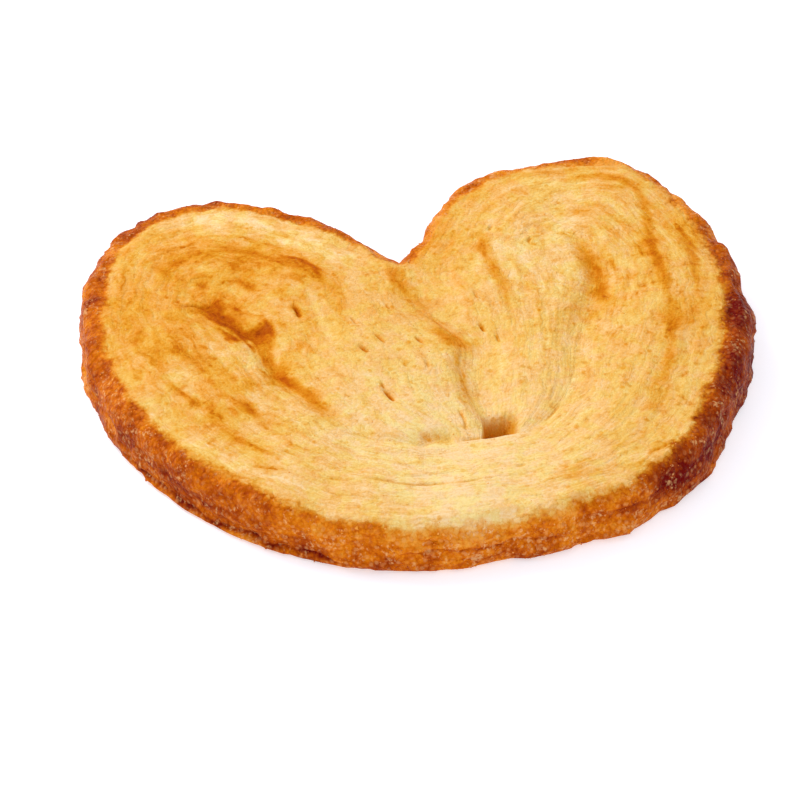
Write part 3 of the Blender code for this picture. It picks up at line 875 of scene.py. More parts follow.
def streak_shares(points, places, half_width, ragged):
    """How strongly each point is on a streak, ragged along its sides and faded at its ends."""
    path = smooth_path(places)
    distance, where = nearest(points, path)
    distance = distance * (1 + ragged)
    ends = rise(where, -0.02, 0.18) * (1 - rise(where, 0.82, 1.02))
    return hill(distance, half_width * MM) * (0.35 + 0.65 * ends)


def hole_shares(points, direction, centre, half_length, half_width):
    """How strongly each point is in a hole that lies along the layers."""
    offset = points - place(centre)
    run = (offset * direction).sum(axis=1) / (half_length * MM)
    across = (offset[:, 0] * direction[:, 1] - offset[:, 1] * direction[:, 0]) / (half_width * MM)
    return np.exp(-(run**4 + across**4))


def round_outline(where, length, table):
    """The sum of places along the outline: share of it, half width in millimetres, amount."""
    amounts = np.zeros_like(where)
    for middle, half_width, amount in table:
        amounts += amount * hill((where - middle) * length, half_width * MM)
    return amounts


def rim_brown(where, length):
    """How brown the rim is at each share of the outline."""
    return spread_list(RIM_BROWN, where) + round_outline(where, length, RIM_PATCHES)


def outline_bumps(where, length):
    """How far the lumps and nicks move the outline."""
    return MM * round_outline(where, length, OUTLINE_BUMPS)


def crust_lumps(run, climb, sizes):
    """Lumps of sugar and crust, over the length run of the outline and up the wall."""
    lumps = 0.9 * grain(run / (3.4 * MM), climb / (2.2 * MM), 1)
    lumps += 0.55 * grain(run / (1.6 * MM), climb / (1.1 * MM), 2)
    lumps += 0.45 * grain(run / (0.8 * MM), climb / (0.7 * MM), 3)
    return lumps * sizes.crust_relief


class UpperFace:
    """The upper face at a set of points: its height, how it is pushed out, and its browning."""

    def __init__(self, points, layer, run, direction, paths, sizes):
        self.points = points
        self.layer = layer
        self.run = run
        self.direction = direction
        self.outline, self.seam, self.left_crease, self.right_crease = paths
        self.sizes = sizes
        self.length = path_reach(self.outline)[-1]
        self.edge, self.where = nearest(points, self.outline)
        self.leg_ends = np.vstack([self.left_crease[:1], self.seam[:1], self.right_crease[:1]])
        self.to_ends, _ = nearest(points, self.leg_ends)
        self.to_cleft = np.linalg.norm(points - self.seam[-1], axis=1)
        self.pit = pit_hole(points, self.leg_ends, self.seam, sizes)
        radius = sizes.shoulder_radius
        self.roll = np.clip(1 - self.edge / radius, 0.0, 1.0)
        self.climb = radius * np.arccos(self.roll) + np.clip(self.edge - radius, 0.0, None)
        border = spread_list(RIM_BORDER, self.where) * MM
        border += 0.6 * MM * grain(self.where * self.length / (2.6 * MM), 0.0, 4)
        blur = spread_list(RIM_BLUR, self.where) * MM
        self.crust = 1 - rise(self.climb, border - blur, border + blur)
        self.inside = border - self.climb
        self.wobble = grain(points[:, 0] / (6 * MM), points[:, 1] / (6 * MM), 5)

    def forms(self):
        """The height of the main forms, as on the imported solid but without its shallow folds."""
        sizes, points = self.sizes, self.points
        folded = rise(self.to_ends, 0.0, 4.0 * MM)
        folded = folded * rise(self.edge, 0.0, sizes.shoulder_radius)
        heights = RIM_HEIGHT + sizes.leg_swell * folded * np.sin(np.pi * self.layer) ** 2
        from_pit = np.linalg.norm(points - self.seam[0], axis=1)
        heights -= sizes.dish_depth * hill(from_pit, sizes.dish_reach)
        heights += seam_step(points, self.seam, sizes)
        heights += swells(points, sizes.unevenness)
        heights -= groove(points, self.left_crease, LEFT_GROOVE_DEPTH, LEFT_GROOVE_REACH)
        heights -= groove(points, self.right_crease, RIGHT_GROOVE_DEPTH, RIGHT_GROOVE_REACH)
        heights -= sizes.pit_depth * self.pit
        drop = sizes.shoulder_radius * (1 - np.sqrt(1 - self.roll**2))
        drop *= 1 - sizes.cleft_fill * hill(self.to_cleft, sizes.cleft_fill_reach)
        return heights - drop

    def relief(self):
        """Leaves, blisters, holes and cracks, as a change of height."""
        sizes, points = self.sizes, self.points
        leaf = self.layer + 0.010 * self.wobble
        open_leaves = rise(self.to_ends, 0.0, 10.0 * MM) * (1 - self.crust)
        relief = grain(24 * leaf, self.run / (9 * MM), 6)
        relief += 0.7 * grain(46 * leaf, self.run / (5 * MM), 7)
        relief = relief * sizes.leaf_relief * open_leaves
        across, back = points[:, 0], points[:, 1]
        blisters = grain(across / (4.2 * MM), back / (4.2 * MM), 8)
        blisters += 0.6 * grain(across / (1.7 * MM), back / (1.7 * MM), 9)
        blisters += 0.3 * grain(across / (0.8 * MM), back / (0.8 * MM), 10)
        relief += blisters * sizes.blister_relief * (1 - self.crust)
        for centre, half_length, half_width, depth, _ in HOLES:
            relief -= depth * MM * hole_shares(
                points, self.direction, centre, half_length, half_width)
        for places, half_width, depth, _ in CRACKS:
            relief -= depth * MM * streak_shares(points, places, half_width, 0.0)
        return relief

    def pushed(self):
        """How far the crust's lumps push each point out, and in which direction."""
        ring = self.outline[:-1]
        reach = path_reach(self.outline) / self.length
        normals = outward(ring)
        normals = np.vstack([normals, normals[:1]])
        out = np.column_stack([np.interp(self.where, reach, normals[:, axis]) for axis in (0, 1)])
        out /= np.linalg.norm(out, axis=1)[:, None]
        climb = RIM_HEIGHT - self.sizes.shoulder_radius + self.climb
        lumps = crust_lumps(self.where * self.length, climb, self.sizes)
        lumps *= self.crust * rise(self.to_cleft, 0.5 * MM, 3.0 * MM)
        lumps += outline_bumps(self.where, self.length) * rise(self.roll, 0.0, 0.6)
        direction = np.column_stack([out * self.roll[:, None], np.sqrt(1 - self.roll**2)])
        return direction * lumps[:, None]

    def browning(self):
        """The browning of each point, with painted shade in the pit, in holes and in cracks."""
        points = self.points
        brown = PALE_TOP + fields(points, BROWN_FIELDS)
        across, back = points[:, 0], points[:, 1]
        ragged = 0.55 * grain(across / (1.6 * MM), back / (1.6 * MM), 12)
        ragged += 0.35 * grain(40 * self.layer, self.run / (3 * MM), 13)
        for places, half_width, amount in STREAKS:
            brown += amount * streak_shares(points, places, half_width, ragged)
        brown += fields(points, SPOTS, ragged)
        # Holes painted darker: their browning and painted shade inside them.
        for centre, half_length, half_width, _, amount in HOLES:
            brown += amount * hole_shares(
                points, self.direction, centre, 0.9 * half_length, 0.9 * half_width)
        # Cracks painted darker: their browning and painted shade inside them.
        for places, half_width, _, amount in CRACKS:
            brown += amount * streak_shares(points, places, half_width, 0.0)
        # The pit is painted darker, most in its corner by the seam: painted shade inside it, over
        # some browning.
        shaded_corner = np.linalg.norm(points - self.seam[0], axis=1)
        brown += rise(self.pit, 0.0, 0.45) * (0.27 + 0.20 * hill(shaded_corner, 3.0 * MM))
        return np.minimum(brown, DARKEST_TOP)

    def rim_browning(self):
        """The browning of the crust, lighter towards its edge on the top."""
        inner = rise(self.inside, -1.0 * MM, 3.0 * MM)
        return rim_brown(self.where, self.length) * (0.82 + 0.18 * inner)

    def frost(self):
        """How white the sugar has stayed at each point."""
        return fields(self.points, FROST)

    def blotchy(self):
        """How strongly browned blotches show at each point."""
        return 1 + fields(self.points, BLOTCH_FIELDS)

    def lined(self):
        """How far the leaves show as long fine lines at each point."""
        lines = fields(self.points, [(centre, reach, 1.0) for centre, reach in LINED_FIELDS])
        return np.clip(FAINT_LINES + lines, 0.0, 1.0)


def build_top(shell, paths, sizes):
    """Add the upper face.

    Gives back both ends of its columns, which columns have a wall, the top of that wall and how
    far it is crust, the layers, and the chain: the points along the front of the two legs, where
    the band along the front is sewn on.
    """
    layers = np.linspace(0.0, 1.0, LAYERS + 1) ** LAYER_CROWDING
    outer, inner, walled = sheet_columns(paths, layers[::FRONT_STEP])
    plan = outer[:, None, :] + layers[None, :, None] * (inner - outer)[:, None, :]
    steps = np.gradient(plan, axis=0)
    steps /= np.maximum(np.linalg.norm(steps, axis=2), 1e-9)[:, :, None]
    run = path_reach(outer)
    rows = len(layers)
    points = plan.reshape(-1, 2)
    layer = np.tile(layers, len(outer))
    first, where = distinct(points)
    face = UpperFace(
        points[first], layer[first], np.repeat(run, rows)[first], steps.reshape(-1, 2)[first],
        paths, sizes)
    heights = face.forms() + face.relief()
    places = np.column_stack([points[first], heights]) + face.pushed()
    places = places[where]
    shell.add(
        places, grid_faces(len(outer), rows, 0), brown=face.browning()[where],
        rim=face.rim_browning()[where], crust=face.crust[where],
        lined=face.lined()[where], blotchy=face.blotchy()[where], frost=face.frost()[where],
        leaf=layer)
    rim_crust = face.crust[where][walled * rows]
    left_chain = np.arange(rows - 1, -1, -1)
    right_chain = (len(outer) - 1) * rows + np.arange(rows)
    chain = np.concatenate([left_chain, right_chain])
    return outer, inner, walled, places[walled * rows], rim_crust, layers, chain


def wall_marks(where, run, height):
    """How brown and how far sunk the wall's bands, cracks and grooves make it; in the sunk ones the
    browning is partly painted shade.
    """
    brown, sunk = np.zeros_like(where), np.zeros_like(where)
    wavy = height + 0.45 * MM * grain(run / (3.5 * MM), 0.0, 21)
    wavy = wavy + 0.25 * MM * grain(run / (1.3 * MM), 0.0, 22)
    for (start, end), heights, half_height, browning, depth in WALL_MARKS:
        level = np.interp(where, (start, end), heights) * MM
        mark = hill(wavy - level, half_height * MM)
        mark *= rise(where, start - 0.012, start + 0.012) * (1 - rise(where, end - 0.012, end))
        mark = mark * (0.75 + 0.35 * grain(run / (2.4 * MM), height / (2 * MM), 23))
        brown += browning * mark
        sunk += depth * MM * mark
    return brown, sunk


def build_wall(shell, ring, top_ring, rim_crust, sizes):
    """Add the wall below the outer row of the upper face. Gives back the ring at its foot."""
    out = outward(ring)
    reach = path_reach(np.vstack([ring, ring[:1]]))
    run, length = reach[:-1], reach[-1]
    where = run / length
    shares = np.linspace(1.0, 0.0, WALL_RINGS + 1)
    swell = np.interp(shares, WALL_SHARES, WALL_SWELL) * WALL_BULGE
    spread = np.interp(shares, WALL_SHARES, WALL_SPREAD)
    for _ in range(3):
        swell[1:-1] = (swell[:-2] + 2 * swell[1:-1] + swell[2:]) / 4
        spread[1:-1] = (spread[:-2] + 2 * spread[1:-1] + spread[2:]) / 4
    flange = rise(where, FLANGE_START, FLANGE_START + FLANGE_FADE)
    flange *= 0.8 * MM * (1 - rise(where, FLANGE_END - FLANGE_FADE, FLANGE_END))
    cleft = ring[0]
    free = rise(np.linalg.norm(ring - cleft, axis=1), 0.5 * MM, 3.0 * MM)
    bumps = outline_bumps(where, length)
    brown_rim = rim_brown(where, length)
    rings, browns, crusts, leaves = [], [], [], []
    for share_up, bulge, stand in zip(shares, swell, spread):
        height = top_ring[:, 2] * share_up
        fade = rise(share_up, 0.0, 0.15)
        marked, sunk = wall_marks(where, run, height)
        push = crust_lumps(run, height, sizes) * free * fade
        push = push + bulge + stand * flange + bumps - sunk * fade
        place_now = np.column_stack([ring + out * push[:, None], height])
        rings.append(place_now)
        crack = grain(run / (7 * MM), height / (0.55 * MM), 20)
        browns.append(brown_rim + 0.06 * crack + marked)
        crusts.append(1 - (1 - rim_crust) * (1 - rise(top_ring[:, 2] - height, 0.0, 1.2 * MM)))
        leaves.append(np.full(len(ring), -height.mean() / (25 * MM)))
    rings[0] = top_ring
    points = np.stack(rings, axis=1).reshape(-1, 3)
    faces = grid_faces(len(ring), len(rings), shell.count, closed=True, flipped=True)
    shell.add(
        points, faces, brown=0.28, rim=np.stack(browns, axis=1).reshape(-1),
        crust=np.stack(crusts, axis=1).reshape(-1), lined=0.0, blotchy=0.6, frost=0.0,
        leaf=np.stack(leaves, axis=1).reshape(-1))
    return rings[-1]


def build_underside(shell, outer, inner, walled, foot, layers, paths):
    """Add the cut face that the slice lies on, flat, with its layers slightly hollow."""
    layers = layers[::FRONT_STEP]
    outer = outer.copy()
    outer[walled] = foot[:, :2]
    outer[walled[-1] + 1] = foot[0, :2]
    rows = len(layers)
    plan = outer[:, None, :] + layers[None, :, None] * (inner - outer)[:, None, :]
    points = plan.reshape(-1, 2)
    layer = np.tile(layers, len(outer))
    run = np.repeat(path_reach(outer), rows)
    first, where = distinct(points)
    edge, share_round = nearest(points[first], paths[0])
    hollow = 0.5 + 0.5 * grain(10 * layer[first], run[first] / (12 * MM), 30)
    height = (0.15 * MM * hollow * rise(edge, 1.0 * MM, 4.0 * MM))[where]
    rim = spread_list(RIM_BROWN, share_round)
    brown = 0.36 + 0.10 * grain(
        points[first][:, 0] / (9 * MM), points[first][:, 1] / (9 * MM), 31)
    crust = 1 - rise(edge, 2.0 * MM, 5.0 * MM)
    places = np.column_stack([points, height])
    faces = grid_faces(len(outer), rows, shell.count, flipped=True)
    shell.add(
        places, faces, brown=brown[where], rim=rim[where], crust=crust[where], lined=0.5,
        blotchy=1.2, frost=0.0, leaf=layer)


def build_slice(sizes):
    """The whole slice as one closed mesh with its painted values."""
    paths = slice_paths()
    shell = Shell()
    outer, inner, walled, top_ring, rim_crust, layers, chain = build_top(shell, paths, sizes)
    foot = build_wall(shell, outer[walled], top_ring, rim_crust, sizes)
    build_underside(shell, outer, inner, walled, foot, layers, paths)
    points, faces, corners = shell.welded(chain)
    mesh = bpy.data.meshes.new("baked_slice")
    mesh.from_pydata(points, [], faces)
    for name, parts in shell.paint.items():
        values = np.concatenate(parts)[corners]
        paint = mesh.attributes.new(name, "FLOAT", "CORNER")
        paint.data.foreach_set("value", values.astype(np.float32))
    mesh.shade_smooth()
    mesh.update()
    return mesh


# --- Materials -------------------------------------------------------------------------------

class Mix:
    """A material's nodes, with short ways to add and join them."""

    def __init__(self, name):
        self.material = bpy.data.materials.new(name)
        self.material.use_nodes = True
        self.tree = self.material.node_tree
        self.shader = self.tree.nodes["Principled BSDF"]

    def put(self, socket, value):
        """Join a socket to another node's output, or give it a value."""
        if isinstance(value, bpy.types.NodeSocket):
            self.tree.links.new(value, socket)
        else:
            socket.default_value = value

    def math(self, operation, first, second=0.5, third=0.5):
        """A sum or other operation on numbers."""
        node = self.tree.nodes.new("ShaderNodeMath")
        node.operation = operation
        for socket, value in zip(node.inputs, (first, second, third)):
            self.put(socket, value)
        return node.outputs[0]

    def painted(self, name):
        """A value painted on the mesh."""
        node = self.tree.nodes.new("ShaderNodeAttribute")
        node.attribute_name = name
        return node.outputs["Fac"]

    def position(self):
        """The place on the object, in metres."""
        return self.tree.nodes.new("ShaderNodeTexCoord").outputs["Object"]

    def noise(self, vector, scale, detail=2.0, roughness=0.5):
        """Noise from 0 to 1."""
        node = self.tree.nodes.new("ShaderNodeTexNoise")
        self.put(node.inputs["Vector"], vector)
        self.put(node.inputs["Scale"], scale)
        self.put(node.inputs["Detail"], detail)
        self.put(node.inputs["Roughness"], roughness)
        return node.outputs[0]

    def cells(self, vector, scale):
        """Rounded grains side by side: how far from a grain's middle, and one value for each."""
        node = self.tree.nodes.new("ShaderNodeTexVoronoi")
        self.put(node.inputs["Vector"], vector)
        self.put(node.inputs["Scale"], scale)
        return node.outputs["Distance"], self.math("MULTIPLY", node.outputs["Color"], 1.0)

    def between(self, share, first, second):
        """The first value where the share is 0, the second where it is 1."""
        return self.math("MULTIPLY_ADD", share, self.math("SUBTRACT", second, first), first)

    def total(self, *values):
        """The sum of the values."""
        result = values[0]
        for value in values[1:]:
            result = self.math("ADD", result, value)
        return result

    def step(self, value, start, end):
        """0 below the start and 1 above the end, with a smooth climb between them."""
        node = self.tree.nodes.new("ShaderNodeMapRange")
        node.interpolation_type = "SMOOTHSTEP"
        self.put(node.inputs["Value"], value)
        self.put(node.inputs["From Min"], start)
        self.put(node.inputs["From Max"], end)
        return node.outputs["Result"]

    def centred(self, value, amount):
        """A value from 0 to 1 turned into a change of plus or minus half the amount."""
        return self.math("MULTIPLY_ADD", value, amount, -0.5 * amount)

    def streaks(self, leaves, length):
        """Noise drawn out along the leaves: so many leaves across, so long along them."""
        scaled = self.tree.nodes.new("ShaderNodeVectorMath")
        scaled.operation = "MULTIPLY"
        self.put(scaled.inputs[0], self.position())
        self.put(scaled.inputs[1], (1 / length, 1 / length, 0.0))
        wander = self.centred(
            self.noise(self.position(), 1 / (4.5 * MM), 3.0, 0.55), 1.5 + leaves / 9)
        layer = self.tree.nodes.new("ShaderNodeCombineXYZ")
        self.put(layer.inputs["Z"], self.math(
            "MULTIPLY_ADD", self.painted("leaf"), leaves, wander))
        added = self.tree.nodes.new("ShaderNodeVectorMath")
        self.put(added.inputs[0], scaled.outputs[0])
        self.put(added.inputs[1], layer.outputs[0])
        return self.noise(added.outputs[0], 1.0, 3.0, 0.6)

    def ramp(self, value, stops):
        """A colour that follows a value through its stops."""
        node = self.tree.nodes.new("ShaderNodeValToRGB")
        self.put(node.inputs[0], value)
        elements = node.color_ramp.elements
        elements[0].position, elements[0].color = stops[0]
        elements[1].position, elements[1].color = stops[-1]
        for position, colour in stops[1:-1]:
            elements.new(position).color = colour
        return node.outputs[0]

    def blend(self, share, first, second, how="MIX"):
        """From the first colour, where the share is 0, to its mix with the second, where it is 1."""
        node = self.tree.nodes.new("ShaderNodeMixRGB")
        node.blend_type = how
        for socket, value in zip(node.inputs, (share, first, second)):
            self.put(socket, value)
        return node.outputs["Color"]

    def height_of(self, position):
        """The height of a place above the floor."""
        node = self.tree.nodes.new("ShaderNodeSeparateXYZ")
        self.put(node.inputs[0], position)
        return node.outputs["Z"]

    def tinted(self, colour, tint_colour):
        """A colour multiplied by another."""
        return self.blend(1.0, colour, tint_colour, "MULTIPLY")

    def bump(self, height, distance, strength):
        """A bumped normal."""
        node = self.tree.nodes.new("ShaderNodeBump")
        self.put(node.inputs["Height"], height)
        self.put(node.inputs["Distance"], distance)
        self.put(node.inputs["Strength"], strength)
        return node.outputs[0]


def dough_stops(colours):
    """The dough's colours against its browning."""
    steps = (
        (0.0, colours.raw), (0.11, colours.straw), (0.165, colours.butter),
        (0.22, colours.gold), (0.29, colours.honey), (0.37, colours.amber),
        (0.46, colours.toffee), (0.57, colours.caramel), (0.68, colours.chestnut),
        (0.82, colours.umber), (1.0, colours.burnt),
    )
    return [(position, baked(colour)) for position, colour in steps]


def crust_stops(colours):
    """The crust's colours against its browning, redder than the dough's."""
    steps = (
        (0.28, colours.crust_gold), (0.45, colours.crust_amber), (0.58, colours.crust_red),
        (0.74, colours.crust_brown), (1.0, colours.crust_burnt),
    )
    return [(position, baked(colour)) for position, colour in steps]


def dough_material(colours):
    """Baked leaves of dough, from pale and dry to a caramelised crust with a gloss, with painted
    glints on its sugar and painted shade in its pores and crevices.
    """
    mix = Mix("baked_dough")
    position = mix.position()
    patches = mix.streaks(13.0, 8.0 * MM)
    leaves = mix.streaks(38.0, 6.0 * MM)
    lines = mix.streaks(75.0, 14.0 * MM)
    mottle = mix.noise(position, 1 / (1.7 * MM), 3.0, 0.6)
    crumb = mix.noise(position, 1 / (0.45 * MM), 2.0, 0.6)
    reach, cell = mix.cells(position, 1 / (0.75 * MM))
    gap, kind = mix.cells(position, 1 / (1.5 * MM))
    # Small dark pores: painted shade of pinholes in the crumb.
    pore_shade = mix.math(
        "MULTIPLY", mix.step(gap, 0.34, 0.16), mix.step(kind, 0.62, 0.72))
    fine_lines = mix.math("MULTIPLY", mix.centred(lines, 0.22), mix.painted("lined"))
    blotches = mix.total(
        mix.centred(patches, 0.32), mix.centred(leaves, 0.14), mix.centred(mottle, 0.22),
        mix.math("MULTIPLY", mix.step(patches, 0.58, 0.80), 0.08))
    top = mix.total(
        mix.painted("brown"), mix.math("MULTIPLY", blotches, mix.painted("blotchy")),
        fine_lines, mix.centred(crumb, 0.26), mix.math("MULTIPLY", pore_shade, 0.10))
    rough = mix.noise(position, 1 / (5.5 * MM), 4.0, 0.6)
    # The crust's browning, darker at the edges of its grains: painted shade in the crevices between
    # them.
    rim = mix.total(
        mix.painted("rim"), mix.centred(rough, 1.05), mix.centred(mottle, 0.46),
        mix.centred(crumb, 0.36), mix.math("MULTIPLY", mix.step(reach, 0.5, 0.85), 0.07))
    border = mix.total(
        mix.painted("crust"), mix.centred(mottle, 0.8), mix.centred(cell, 0.3))
    crusty = mix.step(border, 0.0, 1.0)
    grains = mix.math(
        "MULTIPLY", mix.step(cell, 0.52, 0.80), mix.step(reach, 0.62, 0.30))
    dough = mix.blend(
        crusty, mix.ramp(mix.between(crusty, top, rim), dough_stops(colours)),
        mix.ramp(rim, crust_stops(colours)))
    sunny = mix.step(mix.noise(position, 1 / (2.6 * MM), 3.0, 0.6), 0.40, 0.60)
    dough = mix.blend(crusty, mix.tinted(dough, mix.blend(sunny, TINT_ROSY, TINT_SUNNY)), dough)
    on_wall = mix.step(mix.height_of(position), 8.0 * MM, 5.2 * MM)
    sugary = mix.math("MULTIPLY_ADD", on_wall, 0.14, 0.10)
    # Glints on the crust's sugar, painted into its colour as pale specks in clusters: painted
    # highlights on pale sugar.
    speckle = mix.step(mix.noise(position, 1 / (0.65 * MM), 2.0, 0.55), 0.51, 0.72)
    cluster = mix.step(mix.noise(position, 1 / (3.2 * MM), 2.0, 0.5), 0.48, 0.60)
    glints = mix.math("MULTIPLY", speckle, mix.math("MULTIPLY_ADD", cluster, 0.54, 0.07))
    grains = mix.math("MAXIMUM", mix.math("MULTIPLY", grains, sugary), glints)
    sugar_and_glints = mix.blend(
        mix.math("MULTIPLY", grains, crusty), dough, baked(colours.sugar))
    white = mix.math(
        "MULTIPLY", mix.painted("frost"), mix.step(mix.total(crumb, grains), 0.45, 1.1))
    mix.put(mix.shader.inputs["Base Color"], mix.blend(white, sugar_and_glints, baked(colours.frost)))
    gloss = mix.total(
        mix.math("MULTIPLY_ADD", crusty, -0.28, 0.66), mix.centred(mottle, 0.2),
        mix.centred(crumb, 0.16))
    mix.put(mix.shader.inputs["Roughness"], gloss)
    plain = mix.total(
        mix.math("MULTIPLY", patches, 0.7), mix.math("MULTIPLY", leaves, 0.5),
        mix.math("MULTIPLY", crumb, 0.5))
    granular = mix.total(
        mix.math("MULTIPLY", reach, -0.9), mix.math("MULTIPLY", mottle, 0.6),
        mix.math("MULTIPLY", crumb, 0.5))
    height = mix.between(crusty, plain, granular)
    mix.put(mix.shader.inputs["Normal"], mix.bump(height, 0.5 * MM, 0.8))
    mix.put(mix.shader.inputs["Specular IOR Level"], 0.02)
    return mix.material


def sugar_material(colours):
    """Melted sugar on the crust, from clear to browned."""
    mix = Mix("sugar")
    cloud = mix.noise(mix.position(), 1 / (0.3 * MM))
    brown = mix.math("ADD", mix.painted("brown"), mix.centred(cloud, 0.16))
    mix.put(mix.shader.inputs["Base Color"], mix.blend(
        mix.painted("clear"), mix.ramp(brown, crust_stops(colours)), baked(colours.sugar)))
    mix.put(mix.shader.inputs["Roughness"], mix.math("MULTIPLY_ADD", cloud, 0.25, 0.12))
    mix.put(mix.shader.inputs["Specular IOR Level"], 0.14)
    return mix.material


def floor_material(colours, glow):
    """A plain pale floor."""
    mix = Mix("pale_floor")
    mix.put(mix.shader.inputs["Base Color"], linear(colours.floor))
    mix.put(mix.shader.inputs["Roughness"], 0.9)
    mix.put(mix.shader.inputs["Specular IOR Level"], 0.0)
    mix.put(mix.shader.inputs["Emission Color"], (1.0, 1.0, 1.0, 1.0))
    mix.put(mix.shader.inputs["Emission Strength"], glow)
    return mix.material


# --- Pieces ----------------------------------------------------------------------------------

def add_piece(name, mesh, material):
    """A piece of the slice, riding on its body."""
    piece = bpy.data.objects.new(name, mesh)
    bpy.context.scene.collection.objects.link(piece)
    mesh.materials.append(material)
    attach(piece, BODY)
    return piece


def corner_points(mesh):
    """The number of the point at each corner of the mesh's faces."""
    numbers = np.zeros(len(mesh.loops), dtype=np.int32)
    mesh.loops.foreach_get("vertex_index", numbers)
    return numbers


def point_values(mesh, name):
    """The place or the normal of each point of the mesh."""
    values = np.zeros(len(mesh.vertices) * 3)
    mesh.vertices.foreach_get(name, values)
    return values.reshape(-1, 3)


def surface_samples(mesh, weights, count, seed):
    """Places, normals and corner numbers on the mesh, picked by the weight of each corner."""
    vertex_of = corner_points(mesh)
    draw = np.random.default_rng(seed)
    corners = draw.choice(len(vertex_of), count, p=weights / weights.sum())
    spots = vertex_of[corners]
    jitter = draw.uniform(-0.3 * MM, 0.3 * MM, (count, 3))
    normals = point_values(mesh, "normal")[spots]
    jitter -= normals * (jitter * normals).sum(axis=1)[:, None]
    return point_values(mesh, "co")[spots] + jitter, normals, corners, draw


def clustered(mesh):
    """A weight for each corner of the mesh that is high in scattered patches."""
    across, back, up = point_values(mesh, "co").T / (2.2 * MM)
    patches = grain(across, back + up, 40) + 0.6 * grain(2.1 * across - up, 2.1 * back, 41)
    return (0.06 + rise(patches, 0.1, 0.7))[corner_points(mesh)]


def bead():
    """The corners and sides of a regular solid with twenty faces, with corners 1 from its middle."""
    golden = (1 + math.sqrt(5)) / 2
    corners = []
    for first in (-1, 1):
        for second in (-golden, golden):
            corners += [(0, first, second), (first, second, 0), (second, 0, first)]
    corners = np.array(corners, dtype=float)
    gaps = np.linalg.norm(corners[:, None] - corners[None], axis=2)
    sides = []
    for a, b, c in itertools.combinations(range(len(corners)), 3):
        if max(gaps[a, b], gaps[b, c], gaps[a, c]) > 1.05 * gaps[gaps > 0].min():
            continue
        turn = np.cross(corners[b] - corners[a], corners[c] - corners[a]) @ corners[a]
        sides.append((a, b, c) if turn > 0 else (a, c, b))
    return corners / np.linalg.norm(corners[0]), sides


def grain_mesh(name, places, normals, sizes, sunk, brown, clear, draw):
    """Rounded grains of many shapes, each turned at random, as one joined mesh."""
    count = len(places)
    corners, sides = bead()
    each = len(corners)
    shape = corners[None] * (1 + draw.uniform(-0.16, 0.16, (count, each, 1)))
    shape = shape * (0.5 * sizes[:, None, None]) * draw.uniform(0.6, 1.0, (count, 1, 3))
    axes = draw.normal(size=(count, 3, 3))
    first = axes[:, 0] / np.linalg.norm(axes[:, 0], axis=1)[:, None]
    second = np.cross(first, axes[:, 1])
    second /= np.linalg.norm(second, axis=1)[:, None]
    third = np.cross(first, second)
    turned = np.einsum("nij,njk->nik", shape, np.stack([first, second, third], axis=1))
    centres = places - normals * (sunk * sizes)[:, None]
    points = (turned + centres[:, None, :]).reshape(-1, 3)
    points[:, 2] = np.clip(points[:, 2], 0.0, GRAIN_CEILING)
    faces = [tuple(each * n + c for c in side) for n in range(count) for side in sides]
    mesh = bpy.data.meshes.new(name)
    mesh.from_pydata(points, [], faces)
    for kind, values in (("brown", brown), ("clear", clear)):
        paint = mesh.attributes.new(kind, "FLOAT", "POINT")
        paint.data.foreach_set("value", np.repeat(values, each).astype(np.float32))
    mesh.shade_smooth()
    mesh.update()
    return mesh


def read_paint(mesh, name):
    """The values painted on a mesh."""
    layer = mesh.attributes[name].data
    values = np.zeros(len(layer), dtype=np.float32)
    layer.foreach_get("value", values)
    return values.astype(float)


class PALMIER_OT_slice(bpy.types.Operator):
    """Make the baked slice, with its leaves, creases, pit and crust"""

    bl_idname = "palmier.slice"
    bl_label = "Baked slice"

    def execute(self, context):
        mesh = build_slice(context.scene.palmier_sizes)
        piece = add_piece("baked_slice", mesh, dough_material(context.scene.palmier_colours))
        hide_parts("pastry")
        return {"FINISHED"}


class PALMIER_OT_sugar(bpy.types.Operator):
    """Scatter grains of sugar over the rim and, thinly, over the top"""

    bl_idname = "palmier.sugar"
    bl_label = "Sugar grains"

    def execute(self, context):
        sizes = context.scene.palmier_sizes
        mesh = bpy.data.objects["baked_slice"].data
        paint = {name: read_paint(mesh, name) for name in ("brown", "rim", "crust", "leaf")}
        tone = paint["brown"] + paint["crust"] * (paint["rim"] - paint["brown"])
        material = sugar_material(context.scene.palmier_colours)
        on_rim = rise(paint["crust"], 0.3, 0.9)
        on_top = np.where((paint["crust"] < 0.4) & (paint["leaf"] >= 0.0), 1.0, 0.0)
        scattered = (
            ("rim_sugar", on_rim, sizes.rim_grains),
            ("rim_lumps", on_rim * clustered(mesh), sizes.rim_lumps),
            ("top_sugar", on_top, sizes.top_grains),
        )
        for name, weights, count in scattered:
            scale, sunk, browner, clear, seed = SUGAR[name]
            places, normals, corners, draw = surface_samples(mesh, weights, count, seed)
            keep = (places[:, 2] > scale * LOWEST_GRAIN) & (places[:, 2] < HIGH.z)
            places, normals, corners = places[keep], normals[keep], corners[keep]
            bigger = draw.uniform(0.0, 1.0, len(places)) ** 2
            lengths = scale * sizes.grain_size * (SMALLEST_GRAIN + bigger)
            brown = tone[corners] + browner + draw.normal(0.0, GRAIN_SPREAD, len(places))
            clearness = clear * draw.uniform(0.0, 1.0, len(places)) ** 2
            sugar = grain_mesh(
                name, places, normals, lengths, sunk, np.clip(brown, 0.0, 1.0), clearness, draw)
            add_piece(name, sugar, material)
        return {"FINISHED"}


